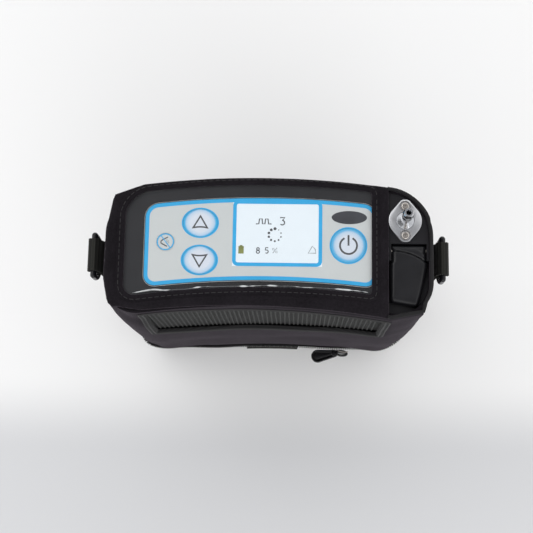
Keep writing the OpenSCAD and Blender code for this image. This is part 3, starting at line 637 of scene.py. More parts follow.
def corner_pull(turn, side, end):
    """Pull at a corner, where turn is 0 degrees at the side and 90 at the front or back."""
    (near, near_reach), (far, far_reach), limit = TOP_CORNERS[side, end]
    reach = min(near_reach / max(math.cos(math.radians(turn - near)), 0.2),
                far_reach / max(math.cos(math.radians(turn - far)), 0.2), limit)
    return reach - CORNER_R - BAG_OUT


def pull(column, z):
    """The fabric drawn in between its corners at the top, and taut across the front at the foot."""
    turn = math.degrees(math.atan2(abs(column.nd), abs(column.nx)))
    side, end = "left" if column.x < 0 else "right", "back" if column.depth > 0 else "front"
    if abs(column.nx) == 1:
        share = (column.depth + STRAIGHT_D) / (2 * STRAIGHT_D)
        top = lerp(corner_pull(0, side, "front"), corner_pull(0, side, "back"), share)
    elif abs(column.nd) == 1:
        share = (column.x + STRAIGHT_X) / (2 * STRAIGHT_X)
        top = lerp(corner_pull(90, "left", end), corner_pull(90, "right", end), share)
    else:
        top = corner_pull(turn, side, end)
    taut = 0.3 - 2.6 * smoothstep(32, 66, abs(column.x)) * smoothstep(0, 60, turn)
    foot = 0 if end == "back" else taut * (1 - smoothstep(26, 90, z))
    if side == "left" and end == "front":
        foot += 2.2 * bump_at(turn, 42, 24) * (1 - smoothstep(22, 60, z))
    return top * smoothstep(146, 184, z) + foot


def cloth_z(x, z, share=1.0):
    """Height of a point of the front wall: the vent's opening sags, and is drawn up at its top."""
    low = -2 - 6.5 * (1 - min(abs(x) / 64, 1) ** 3)
    high = 1.2 + 5 * smoothstep(-20, -60, x)
    if z < VENT[2]:
        shift = low * smoothstep(TUCK_H, VENT[2], z)
    elif z < VENT[3]:
        shift = lerp(low, high, (z - VENT[2]) / (VENT[3] - VENT[2]))
    else:
        shift = high * max(PANEL_Z0 - z, 0) / (PANEL_Z0 - VENT[3])
    return z + shift * share


def front_share(column):
    """1 where the wall faces forwards, fading to 0 round the corners."""
    return max(-column.nd, 0.0) ** 2


def wall_out(column, z):
    """How far the bag's outer face stands off the casing: padding, slow waves, pulls and the zip's groove."""
    x, y = column.at(BAG_OUT)
    wave = soft_noise(x, y, z, 38.0) * 0.7 + soft_noise(x, y, z, 17.0, 3.1) * 0.3
    pillow = math.sin(math.pi * min(max((z - TUCK_H) / (PANEL_Z0 - TUCK_H), 0), 1))
    round_top = 1.3 * smoothstep(181.0, PANEL_Z0 + 1.5, z) ** 2
    groove = (1.5 + 1.1 * smoothstep(10, -40, x)) * (1 - smoothstep(TUCK_H, 37, z)) if is_front(column) else 0
    out = BAG_OUT + (0.5 + wave) * pillow - round_top - groove + pull(column, z)
    return max(out, LEAST_OUT + 1.2 * front_share(column)) - foot_tuck(z)


def lined(columns, z):
    """A level of the bag's inner face."""
    return [(*c.at(BAG_OUT - BAG_WALL - foot_tuck(z)), z) for c in columns]


def bag_walls():
    """The padded wall of the bag, open at the vent, the power inlet and where the base zips on."""
    heights = [0.0, 1.2, 3.5, 7, 11, 15, 19, 22.5, TUCK_H, 28, 32, 36, 42, *range(46, 70, 4), 70, 75, 80,
               *range(86, 121, 6), *spread(VENT[2], VENT[3], 11), 178.5, 181, 183.5, 185.5, 187, PANEL_Z0]
    inlet = (-32.0, -8.0, 54.0, 70.0)            # left, right, bottom, top of its access hole
    outer, inner = [], []
    for height in heights:
        zs = [cloth_z(c.x, height, front_share(c)) for c in COLUMNS]
        outer += [(*c.at(wall_out(c, z)), z) for c, z in zip(COLUMNS, zs)]
        inner += [lined([c], z)[0] for c, z in zip(COLUMNS, zs)]
    count, shift, faces = len(COLUMNS), len(outer), []

    def kept(k, j):
        column, after = COLUMNS[k], COLUMNS[(k + 1) % count]
        x, z = (column.x + after.x) / 2, (heights[j] + heights[j + 1]) / 2
        in_base = z < TUCK_H and (is_front(column) or is_front(after))
        in_vent = VENT[2] < z < VENT[3] and -STRAIGHT_X < x < VENT[1] and column.nd < -0.9
        in_inlet = inlet[2] < z < inlet[3] and inlet[0] < x < inlet[1] and column.nd > 0.9
        return not (in_base or in_vent or in_inlet)

    cells = {(k, j) for j in range(len(heights) - 1) for k in range(count) if kept(k, j)}
    for k, j in cells:
        n = (k + 1) % count
        quad = (j * count + k, j * count + n, (j + 1) * count + n, (j + 1) * count + k)
        faces += [quad, tuple(i + shift for i in reversed(quad))]
        for near, a, b in (((k, j - 1), quad[0], quad[1]), ((n, j), quad[1], quad[2]),
                           ((k, j + 1), quad[2], quad[3]), (((k - 1) % count, j), quad[3], quad[0])):
            if near not in cells:
                faces.append((b, a, a + shift, b + shift))
    walls = build("bag_walls", only_used(outer + inner, faces), "neoprene", "bag_shell", smooth=50)


def panel_edge(x, depth):
    """Distance inwards from the top panel's outer edge."""
    return -rect_distance(x, depth, -CASE_X - BAG_OUT, CASE_X + BAG_OUT, -CASE_D - BAG_OUT, CASE_D + BAG_OUT,
                          CORNER_R + BAG_OUT)


def rounded_drop(gap, width, depth):
    """Drop of a rounded edge: its depth at no gap, and nothing once the gap is its width."""
    return depth * (1 - math.sqrt(max(1 - (1 - min(max(gap, 0), width) / width) ** 2, 0)))


def panel_height(x, depth):
    """Height of the top panel, with its rounded edges, the band's groove, padding and slow waves."""
    gap, edge = window_gap(x, depth), panel_edge(x, depth)
    drops = (rounded_drop(edge, 3.2, 2.0) + rounded_drop(PANEL_END_X - x, 1.2, 0.9)
             + rounded_drop(gap, 0.9, 0.9))
    groove = 0.5 * bump_at(gap, BAND, 0.5)
    puff = 0.45 * smoothstep(BAND, BAND + 2.5, gap) * smoothstep(0, 3.5, min(edge, 3.2))
    wave = soft_noise(x, depth, 0, 16.0, 5.0) * 0.3 + soft_noise(x, depth, 0, 5.0, 1.0) * 0.12
    return PANEL_Z1 - drops - groove + puff + wave * smoothstep(0.2, 1.5, min(max(gap, 0), 0.9))


def drawn(x, depth):
    """A point of the top panel moved with the pull on the nearest stretch of its edge."""
    edge = min(COLUMNS, key=lambda c: (c.out(BAG_OUT)[0] - x) ** 2 + (c.out(BAG_OUT)[1] - depth) ** 2)
    shift = max(pull(edge, PANEL_Z1), LEAST_OUT - BAG_OUT - 0.8)
    shift *= 1 - smoothstep(0, 9, panel_edge(x, depth))
    return x + edge.nx * shift, depth + edge.nd * shift


def spread_points(candidates, gap):
    """The candidates, each kept only where no earlier one is nearer than the gap."""
    cells, kept = {}, []
    for x, d in candidates:
        key = (int(x // gap), int(d // gap))
        near = [q for i in (-1, 0, 1) for j in (-1, 0, 1) for q in cells.get((key[0] + i, key[1] + j), ())]
        if all(math.hypot(x - q[0], d - q[1]) >= gap for q in near):
            cells.setdefault(key, []).append((x, d))
            kept.append((x, d))
    return kept


def inside_loop(p, loop):
    crossings = False
    for i, a in enumerate(loop):
        b = loop[i - 1]
        if (a[1] > p[1]) != (b[1] > p[1]) and p[0] < (b[0] - a[0]) * (p[1] - a[1]) / (b[1] - a[1]) + a[0]:
            crossings = not crossings
    return crossings


def top_panel():
    """The bag's top panel: a padded frame round the window, with a folded band along the window's edge."""
    side = from_gap([p for p in (c.out(BAG_OUT) for c in COLUMNS) if p[0] < PANEL_END_X - 0.4])
    if side[0][1] < 0:
        side.reverse()
    half = CASE_D + BAG_OUT
    end = [(PANEL_END_X, d) for d in spread(-half, half, 45)]
    boundary, hole = side + end, round_window(0, 1.3)
    rows = []
    for out in (0.3, 0.6, 0.9, 1.8, 2.8, 3.7, 4.2, 4.7, 5.4, 6.4):
        rows += round_window(out, 1.1)
    for inward in (0.35, 0.9, 1.7, 2.7):
        rows += [c.out(BAG_OUT - inward) for c in COLUMNS]
        rows += [(PANEL_END_X - inward, d) for _, d in end[1:-1]]
    rows += [(i * 1.5, j * 1.5) for i in range(-60, 45) for j in range(-24, 25)]
    inside = [p for p in rows if panel_edge(*p) > 0.25 and p[0] < PANEL_END_X - 0.2 and window_gap(*p) > 0.2]
    loops = boundary + hole
    free = loops + [p for p in spread_points(loops + inside, 0.28) if p not in set(loops)]
    n, m = len(boundary), len(hole)
    edges = [(i, (i + 1) % n) for i in range(n)] + [(n + i, n + (i + 1) % m) for i in range(m)]
    mapped, _, triangles, *_ = geometry.delaunay_2d_cdt([Vector(p) for p in free], edges, [], 0, 1e-4)
    faces = []
    for face in triangles:
        x, depth = (sum(mapped[i][axis] for i in face) / 3 for axis in (0, 1))
        if panel_edge(x, depth) > 0 and x < PANEL_END_X and not inside_loop((x, depth), hole):
            faces.append(tuple(face))
    flat_points, faces = only_used(mapped, faces)
    points = [(*bent(*drawn(p.x, p.y)), panel_height(p.x, p.y)) for p in flat_points]
    panel = mesh_piece("bag_top_panel", (points, faces), "neoprene", smooth=0)
    panel.data.shade_smooth()
    if sum(p.normal.z for p in panel.data.polygons) < 0:
        panel.data.flip_normals()
    add_modifier(panel, "SOLIDIFY", thickness=1.1 * MM, offset=-1.0)
    applied(panel)
    finished(panel, "housing", "neoprene", "bag_top_frame")


def corner_rim():
    """Bound edge round the open corner where the cartridge shows."""
    places = [c.at(max(BAG_OUT - 0.95 + pull(c, PANEL_Z1), 1.1)) for c in COLUMNS]
    path = from_gap([(x, y, 189.0) for x, y in places if x > CARTRIDGE_X - 2.5])
    build("corner_rim", swept(path, circle(1.0, 12, 1.1)), "binding")


def window_film():
    """The clear window: thin film that bows and ripples a little between its sewn edges."""
    margin, nx, nd = 2.2, 110, 48
    x0, x1, d0, d1 = WINDOW[0] - margin, WINDOW[1] + margin, WINDOW[2] - margin, WINDOW[3] + margin
    grid = []
    for d in spread(d0, d1, nd):
        for x in spread(x0, x1, nx):
            gap = -window_gap(x, d)
            ripple = (soft_noise(x, d * 1.6, 0, 15.0, 8.0) * 0.22
                      + soft_noise(x * 0.5, d * 2, 0, 7.0, 4.0) * 0.08)
            edge_curl = 0.25 * bump_at(gap, 1.2, 1.4) * (1 + soft_noise(x, d, 0, 4.0, 2.0))
            grid.append((*bent(x, d), FILM_LOW.z + 0.12 + ripple * smoothstep(0, 7, gap) + edge_curl))
    faces = [(j * (nx + 1) + i, j * (nx + 1) + i + 1, (j + 1) * (nx + 1) + i + 1, (j + 1) * (nx + 1) + i)
             for j in range(nd) for i in range(nx)]
    film = build("window_film", (grid, faces), "window_film", "bag_window", smooth=0)
    film.data.shade_smooth()


def window_welt():
    """A pale bead along the window's front: painted highlight standing in for the glint of the film's cut edge,
    which stands up here and there.
    """
    path, radii = [], []
    for x in spread(WINDOW[0] + 5, WINDOW[1] - 2, 240):
        lift = max(soft_noise(x, 0, 0, 13.0, 6.0) + 0.5 * soft_noise(x, 0, 0, 3.0, 2.0) + 0.12, 0.0)
        depth = WINDOW[2] + 0.7 + 0.5 * soft_noise(x, 3.0, 0, 9.0, 3.0) + 0.9 * smoothstep(-52, -60, x)
        path.append((*bent(x, depth), FILM_LOW.z + 0.25))
        radii.append(0.04 + 0.42 * min(lift * 2.2, 1.0))
    build("window_welt", swept(path, lambda i: circle(radii[i], 8, 0.7)), "window_welt", slot="window_film")


def panel_stitching():
    """Stitches that hold the window's band down."""
    line = [(*bent(x, d), panel_height(x, d) + 0.02) for x, d in round_window(2.6, 1.5)]
    ends = [p for p, _ in walk(line + line[:1], (2.2, 1.1))]
    rise, parts = 0.08, []
    for a, b in zip(ends[0::2], ends[1::2]):
        middle, shoulder = (a + b) / 2 + Vector((0, 0, rise)), Vector((0, 0, rise * 0.6))
        parts.append(swept([a, a.lerp(middle, 0.5) + shoulder, middle, b.lerp(middle, 0.5) + shoulder, b],
                           circle(0.22, 6)))
    build("window_stitching", joined(parts), "thread", slot="neoprene")


def vent():
    """Ribbed mesh behind the opening in the front, and the taped edge round it."""
    left, right, low, high = VENT
    back_d, pitch = -CASE_D - 0.3, 2.5
    section = ((back_d, low - 1), (back_d, high + 1), (back_d - 0.3, high + 1), (back_d - 0.3, low - 1))
    sheet = [[(*bent(x, d), cloth_z(x, z)) for d, z in section] for x in spread(left - 0.8, right + 0.8, 90)]
    build("vent_mesh_sheet", loft(sheet), "spacer_mesh", "vent_mesh")
    ribs = []
    for k in range(int((right - left - 6) / pitch) + 1):
        x, lean = left + 3.0 + k * pitch, 0.12 * math.sin(k * 1.7)
        path = [(x + lean * math.sin(z / 9), bent(x, back_d - 0.45)[1], cloth_z(x, z))
                for z in spread(low, high - 0.5, 20)]
        ribs.append(swept(path, circle(0.5, 10, 0.9), up=(0, -1, 0)))
    build("vent_ribs", joined(ribs), "vent_rib", slot="spacer_mesh")

    def ring(grow, out):
        made = []
        for x, height in round_rect(left - grow, right + grow, low - grow, high + grow, max(1.5 + grow, 0.6),
                                    corner_steps=5, spans=(60, 22)):
            z = cloth_z(x, min(height, PANEL_Z0 - 0.4))
            made.append((*bent(x, -CASE_D - wall_out(Column(x, -CASE_D, 0, -1), z) - out), z))
        return made

    profile = [(1.9, -0.4), (1.9, 0.0), (1.6, 0.25), (0.9, 0.3), (0.45, 0.15), (0.0, 0.3), (-0.7, 0.3),
               (-1.2, 0.1), (-1.6, -0.4), (-1.9, -1.1), (-2.0, -1.7), (-1.2, -1.8), (-0.4, -1.4), (1.2, -0.8)]
    tape = build("vent_tape", loft([ring(*p) for p in profile], wrap=True), "binding", "vent_trim", smooth=60)
    pipes = [swept(ring(grow, 0.25), circle(0.4, 8), up=(0, -1, 0), closed=True) for grow in (-0.5, 1.6)]
    build("vent_piping", joined(pipes), "piping", slot="binding")


def base_wall():
    """The front wall of the bag's hinged base."""
    def out(c, z):
        edges = 1.3 * (1 - smoothstep(0, 2.2, z)) + 0.4 * smoothstep(19.5, FLAP_H, z)
        pillow = 0.35 * math.sin(math.pi * min(z / FLAP_H, 1)) * (1 + soft_noise(c.x, c.depth, z, 24.0))
        bulge = 0.9 * smoothstep(0, -45, c.x) * bump_at(z, 17, 7)
        return BAG_OUT - foot_tuck(z) - edges + pillow + bulge + pull(c, z)

    heights = [0.0, 0.6, 1.6, 3.5, 6, 9, 12, 15, 18, 20.2, FLAP_H]
    outer = [[(*c.at(out(c, z)), z) for c in FRONT_COLUMNS] for z in heights]
    inner = [lined(FRONT_COLUMNS, z) for z in heights]
    wall = build("base_wall", closed_sheet(outer, inner), "neoprene_base", "base_flap", body="base_flap",
                 smooth=50)


def base_floor():
    """The base's floor: padded fabric whose curve straightens towards the fold and runs into the back of the
    bag.
    """
    inset_by = TUCK + 0.7
    corner = CORNER_R - inset_by
    layers = []
    for z in (0.15, 3.5):
        rows = []
        for d in spread(-CASE_D + inset_by, 24.5, 22) + [25.2, 26.0, 26.8, 27.4]:
            over = max(abs(d) - STRAIGHT_D, 0)
            half = STRAIGHT_X + (math.sqrt(max(corner ** 2 - over ** 2, 0)) if over < corner else 0)
            straight = smoothstep(20, 25, d)
            rows.append([(x, lerp(arc_y(x) + d, d, straight), z) for x in spread(-half, half, 60)])
        layers.append(rows)
    floor = mesh_piece("base_floor", closed_sheet(*layers), "neoprene_base", smooth=50)
    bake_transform(floor)
    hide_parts("base_flap")


def pull_tab():
    """Small webbing tab sewn to the front edge of the base."""
    section = ((-0.2, 2.4), (0.9, 1.8), (1.9, 3.4), (2.7, 8), (3.0, 13), (2.4, 16.2), (0.9, 17.4),
               (-0.2, 17.2))                     # how far out of the bag, and height
    rings = []
    for k, x in enumerate(spread(-17, 17, 40)):
        fray = 0.036 * math.cos(2 * math.pi * k / 3)
        rings.append([(*bent(x, -CASE_D - BAG_OUT + foot_tuck(z) - out - fray), z) for out, z in section])
    tab = build("base_tab", loft(rings), "webbing", "base_pull_tab", body="base_flap")


def zip_chain():
    """Two tapes and the interlocking coils of the zip along the foot of the bag."""
    middle = (CHAIN_LOW.z + CHAIN_HIGH.z) / 2

    def level(c, back, z):
        return (*c.at(BAG_OUT - back - foot_tuck(z) + pull(c, z)), z)

    section = ((2.6, CHAIN_LOW.z - 0.2), (0.2, CHAIN_LOW.z - 0.2), (0.1, middle - 0.5), (0.1, middle + 0.5),
               (0.2, CHAIN_HIGH.z + 0.4), (2.6, CHAIN_HIGH.z + 0.4))
    rings = [[level(c, *p) for p in section] for c in FRONT_COLUMNS]
    tape = build("zip_tape", loft(rings), "binding", "zip_chain")
    teeth = []
    for i, (p, direction) in enumerate(walk([level(c, -0.2, middle) for c in FRONT_COLUMNS], (1.45,), 2.0)):
        lift, out = 0.75 if i % 2 else -0.75, direction.cross(Vector((0, 0, 1)))
        coil = [p + Vector((0, 0, lift * up)) + out * by for up, by in ((2.2, -0.2), (1.3, 0.35), (0.2, 0.45),
                                                                        (-0.7, 0.1))]
        teeth.append(swept(coil, circle(0.5, 6), up=direction))
    build("zip_teeth", joined(teeth), "zip_black", smooth=60)


def webbing():
    """Strap webbing at each side: sewn to the bag, up and round the ring's bar and back down."""
    face, radius = CASE_X + BAG_OUT + 0.9, 2.75
    bar_x, middle_y, bar_z = RING_AXIS
    half = box_mm("side_webbing")[1].y - middle_y - 0.2
    up = [(face + 0.1, 138.5), (face + 0.1, 146), (face + 0.1, 154), (face + 0.2, 161), (face + 0.9, 165.5),
          (bar_x - radius + 0.15, 169.6)]
    down = [(bar_x - 0.9, 167.3), (face + 2.1, 163.5), (face + 1.7, 160),
            *((face + 1.6, z) for z in (152, 145, 139))]
    route = up + arc_path(bar_x, bar_z, radius, 181, -66, 13) + down
    fine = []
    for p, q in zip(route, route[1:]):
        steps = max(int((Vector(q) - Vector(p)).length / 0.4), 1)
        fine += [Vector(p).lerp(Vector(q), k / steps) for k in range(steps)]
    sewn = [(middle_y + sy * (half - 2), z) for sy, z in
            ((-1, 140), (1, 140), (1, 158), (-1, 158), (-1, 140), (1, 158), (-1, 158), (1, 140))]
    edge = [(s * t, t) for t in (-1, 1) for s in (1, 0.97, 0, -0.97, -1)]
    for side, name in ((1, "webbing_right"), (-1, "webbing_left")):
        rings, travelled = [], 0.0
        for i, p in enumerate(fine):
            before = fine[max(i - 1, 0)]
            along = (fine[min(i + 1, len(fine) - 1)] - before).normalized()
            travelled += (p - before).length
            ripple = math.cos(2 * math.pi * travelled / 1.25)
            thick = 0.6 + 0.12 * ripple
            rings.append([(side * (p.x + along.y * t * thick),
                           middle_y + s * (half + (0.22 * ripple if abs(s) == 1 else 0)),
                           p.y - along.x * t * thick) for s, t in edge])
        strap = build(name, loft(rings), "webbing", "side_webbing", smooth=45)
        parts, out = [], side * (face + 2.2)
        for a, b in zip(sewn, sewn[1:]):
            a, b = Vector((out, *a)), Vector((out, *b))
            steps = int((b - a).length / 3.0)
            for k in range(steps):
                p, q = a.lerp(b, (k + 0.12) / steps), a.lerp(b, (k + 0.88) / steps)
                parts.append(swept([p, p.lerp(q, 0.5) + Vector((side * 0.04, 0, 0)), q], circle(0.2, 6),
                                   up=(1, 0, 0)))
        build(name + "_stitching", joined(parts), "thread", slot="webbing")


# ---------------------------------------------------------------- zip slider and puller
SLIDER = Vector((SLIDER_X, arc_y(SLIDER_X) - CASE_D - BAG_OUT - 0.7, 0))    # on the zip, at rest
SLIDER_TURN = -math.asin(SLIDER_X / BEND_R)
PULLER_PIN = Vector((-3.2, -3.2, 0))             # from the slider's place


def zip_slider():
    """The slider's body with the puller's hub, the bridge over it and a wire along it."""
    def part(name, shape, material, *nodes):
        build(name, turned(shape, SLIDER, SLIDER_TURN), material, *nodes, body="zip_slider")

    body = prism(round_rect(-5, 5, -2.1, -0.35, 0.7, corner_steps=4), 21.5, 27.4, soften=0.5)
    hub = lathe([(0.95, 21.6), (1.9, 21.6), (1.9, 27.3), (1.7, 27.5), (0.95, 27.5)], PULLER_PIN.xy, 24)
    part("zip_slider_body", joined([body, hub]), "zip_black", "zip_slider")
    bridge = flat(ellipse(1.9, -2.1, 3.6, 1.45, 32), 26.2)
    part("zip_slider_bridge", swept(bridge, circle(0.8, 10), closed=True), "zip_black")
    wire = [(lerp(-0.6, 6.2, t), -0.7 - 0.5 * math.sin(math.pi * t), 27.25) for t in spread(0, 1, 12)]
    part("zip_slider_wire", swept(wire, circle(0.33, 8)), "steel")


def zip_puller():
    """The puller: a rimmed teardrop with a hollow face, turning on the slider's pin."""
    ends = ((Vector((0.4, 0.0)), 2.4), (Vector((-10.6, -0.6)), 4.3))    # centre and radius of its round ends

    def teardrop(grow, shift=0.0):
        made = []
        for away in ellipse(0, 0, 1, 1):
            away = Vector(away)
            centre, radius = max(ends, key=lambda e: e[0].dot(away) + e[1])
            made.append(tuple(centre + away * max(radius + grow, 0.3) + Vector((shift, 0))))
        return made

    levels = ((-0.7, 27.8), (-0.2, 27.95), (0.0, 28.4), (0.0, 29.5), (-0.15, 29.95), (-0.5, 30.2),
              (-0.85, 30.15), (-1.15, 29.8), (-1.35, 29.3), (-1.9, 29.15))
    blade = loft([flat(teardrop(grow), z) for grow, z in levels])
    grip = prism(teardrop(-2.1, shift=-0.9), 29.1, 29.75, soften=0.3)
    pin_profile = [(0.01, 20.6), (0.85, 20.6), (0.85, 28.6), (1.5, 28.65), (1.5, 30.0), (1.2, 30.25),
                   (0.01, 30.3)]
    pin = moved(lathe(pin_profile, (0, 0), 24), PULLER_PIN)
    swung = turned(joined([blade, grip]), PULLER_PIN, math.radians(12))
    build("zip_puller_blade", turned(joined([pin, swung]), SLIDER, SLIDER_TURN), "zip_black", "zip_puller",
          body="zip_puller")


# ---------------------------------------------------------------- panel graphics
def flat_ring(outer, inner, z=0.0, thick=0.03):
    """A thin printed ring between two outlines with the same count."""
    return loft([flat(outer, z), flat(outer, z + thick), flat(inner, z + thick), flat(inner, z)], wrap=True)


def stroke(path, width, z=0.0, thick=0.03, closed=False):
    """A thin printed line of constant width through points (x, y)."""
    section = [(-width / 2, 0), (width / 2, 0), (width / 2, thick), (-width / 2, thick)]
    return swept(flat(path, z), section, closed=closed)


def disc(x, y, radius):
    return prism(ellipse(x, y, radius, radius, 20), 0, 0.03)


def hoop(x, y, radius, width, steps):
    return stroke(ellipse(x, y, radius, radius, steps), width, closed=True)


def printed(name, part, material, body="housing", slot="overlay", at=(0, 0, 0)):
    build(name, moved(part, at), material, body=body, slot=slot, smooth=0)


def overlay_border():
    """The overlay's dark outline and the blue line inside it."""
    front, back = -20.5, 24.5

    def outline(a):
        left, right = OVERLAY_LOW.x + a, OVERLAY_HIGH.x - a
        return [bent(*p) for p in round_rect(left, right, front + a, back - a, 7 - a, spans=(40, 12))]

    printed("overlay_outline", flat_ring(outline(0.15), outline(0.5), PRINT_Z), "line_ink")
    printed("overlay_border", flat_ring(outline(0.45), outline(2.55), PRINT_Z), "key_blue", slot="key_blue")


def matched(outer, half_x, half_y, radius):
    """A smaller rounded rectangle about the origin, with one point for each of the outer outline's."""
    made = []
    for x, y in outer:
        qx = min(max(x, -half_x + radius), half_x - radius)
        qy = min(max(y, -half_y + radius), half_y - radius)
        step = Vector((x - qx, y - qy)).normalized() * radius
        made.append((qx + step.x, qy + step.y))
    return made


def screen_graphics():
    """The display's border, and on it a pulse, a digit, a ring of dots, a percentage and two icons."""
    half_w, half_d, rim = 23.6, 17.75, 1.9
    outer = round_rect(-half_w, half_w, -half_d, half_d, 3.0, spacing=3)
    inner = matched(outer, half_w - rim, half_d - rim, 1.1)
    centre = Vector((*bent(*SCREEN), PRINT_Z))
    printed("screen_border", flat_ring(outer, inner, thick=0.05), "key_blue", slot="key_blue", at=centre)
    pulse = [(-11.4 + 1.15 * along, 5.0 + 2.7 * up) for along, up in
             ((0, 0), (1.3, 0), (1.6, 1), (2.8, 1), (3.0, 0), (4.1, 0), (4.4, 1), (5.5, 1), (5.8, 0),
              (7.1, 0))]
    three = [(1.3, 8.5), (3.8, 8.5), (2.5, 6.9)] + arc_path(2.5, 5.75, 1.2, 80, -140, 14)
    five = [(-4.7, -7.8), (-6.1, -7.8), (-6.2, -9.1)] + arc_path(-5.55, -9.9, 0.85, 110, -130, 12)
    dark = [stroke(pulse, 0.62), stroke(three, 0.6), stroke(five, 0.5),
            hoop(-10.1, -8.55, 0.68, 0.5, 18), hoop(-10.1, -10.05, 0.82, 0.5, 18)]
    for k, (x, y) in enumerate(arc_path(-1.3, -0.9, 3.35, 90, 414, 9)):
        dark.append(disc(x, y, lerp(0.8, 0.3, k / 9)))
    pale = [stroke([(-2.3, -10.7), (-0.1, -7.8)], 0.36), hoop(-2.0, -8.55, 0.5, 0.24, 12),
            hoop(-0.4, -10.05, 0.5, 0.24, 12),
            stroke([(16.3, -10.5), (20.3, -10.5), (20.0, -8.4), (18.5, -6.7)], 0.5, closed=True)]
    cell = [prism([(-19 - w, y0), (-19 + w, y0), (-19 + w, y1), (-19 - w, y1)], 0, 0.03)
            for w, y0, y1 in ((1.4, -11.1, -7.1), (0.7, -7.15, -6.6))]
    for name, parts, ink in (("screen_ink", dark, "ink"), ("screen_pale_ink", pale, "faint_ink"),
                             ("screen_battery_icon", cell, "olive_ink")):
        printed(name, joined(parts), ink, slot="display", at=centre + Vector((0, 0, 0.005)))


def mitred_loop(outline, width):
    """A closed printed line whose corners stay sharp."""
    def offset(by):
        made, count = [], len(outline)
        for i in range(count):
            p, a, b = (Vector(outline[j % count]) for j in (i, i - 1, i + 1))
            e1, e2 = (p - a).normalized(), (b - p).normalized()
            n1, n2 = Vector((-e1.y, e1.x)), Vector((-e2.y, e2.x))
            middle = (n1 + n2).normalized()
            made.append(tuple(p + middle * by / max(middle.dot(n1), 0.35)))
        return made
    return flat_ring(offset(-width / 2), offset(width / 2))


def keys():
    """Each key: a soft dome with a printed face, its seat in the overlay, and its symbol."""
    rim, face = (0.03, 0.41, 0.74), (0.70, 0.75, 0.83)
    looks = {"power_key": ("key_white", (0.09, 0.44, 0.74), face, 0.0),
             "up_key": ("key_blue", rim, face, 0.12),
             "down_key": ("key_blue", rim, face, 0.12),
             "mute_key": ("key_blue", OVERLAY_GREY, OVERLAY_GREY, 0.0)}
    for name, (slot, *colours) in looks.items():
        x, depth, rx, ry = KEYS[name]
        x, y = bent(x, depth)
        levels = [(0.0, TOP_Z - 1.0), (0.0, KEY_TOP - 0.35), (-0.08, KEY_TOP - 0.15), (-0.3, KEY_TOP - 0.03),
                  (-0.7, KEY_TOP), (-2.2, KEY_TOP + 0.03), (-ry * 0.6, KEY_TOP + 0.07)]
        dome = loft([flat(ellipse(x, y, rx + grow, ry + grow), z) for grow, z in levels])
        material = key_material(name + "_face", (x, y), (rx, ry), *colours)
        build(name + "_cap", dome, material, name, body=name, slot=slot, smooth=60)
    for name, (x, depth, rx, ry) in KEYS.items():
        x, y = bent(x, depth)
        seat = flat_ring(ellipse(x, y, rx + 0.75, ry + 0.75), ellipse(x, y, rx + 0.06, ry + 0.06),
                         OVERLAY_HIGH.z - 0.1, 0.14)
        printed(name + "_seat", seat, "overlay" if name == "mute_key" else "key_blue")

    def symbol(name, kind, part, material="ink", slot="key_blue"):
        printed(f"{name}_{kind}", part, material, name, slot, at=(*bent(*KEYS[name][:2]), KEY_TOP + 0.06))

    for name, s in (("up_key", 1), ("down_key", -1)):
        arrow = ((-3.7, -2.7), (-1.8, -2.35), (0, -2.25), (1.8, -2.35), (3.7, -2.7), (0, 3.6))
        symbol(name, "arrow", mitred_loop([(x, s * y) for x, y in arrow], 0.8))
    power = [stroke(arc_path(0, -0.1, 4.45, 118, 422, 48), 1.0), stroke([(0, 5.6), (0, -0.1)], 1.0)]
    symbol("power_key", "symbol", joined(power), slot="key_white")
    crossed = [flat_ring(circle(4.55, 64), circle(3.95, 64)), stroke([(-2.4, 3.3), (2.6, -3.2)], 0.42, 0.035)]
    symbol("mute_key", "ring", joined(crossed), "key_blue")
    horn = [(1.3, 2.5), (-1.5, 1.0), (-2.3, 0.3), (-2.3, -0.7), (-1.5, -1.2), (0.9, -2.5)]
    dots = [disc(x, y, 0.22) for x, y in ((0.8, 0.9), (1.6, 0.4), (0.9, 0.0), (1.7, -0.5), (1.0, -0.9))]
    symbol("mute_key", "symbol", joined([stroke(horn, 0.6)] + dots))


def panel_oval():
    """The plain grey oval above the power key."""
    printed("panel_oval", prism(ellipse(*bent(43.2, 15.9), 9.3, 3.55), PRINT_Z, PRINT_Z + 0.03), "oval_ink")


# ---------------------------------------------------------------- outlet and handle
def softened(outline, by):
    """The outline with each sharp corner cut back once, so that its edges catch the light."""
    made = []
    for i, p in enumerate(outline):
        before, here, after = Vector(outline[i - 1]), Vector(p), Vector(outline[(i + 1) % len(outline)])
        if (here - before).angle(after - here) > math.radians(20):
            made += [tuple(here + (end - here).normalized() * by) for end in (before, after)]
        else:
            made.append(p)
    return made


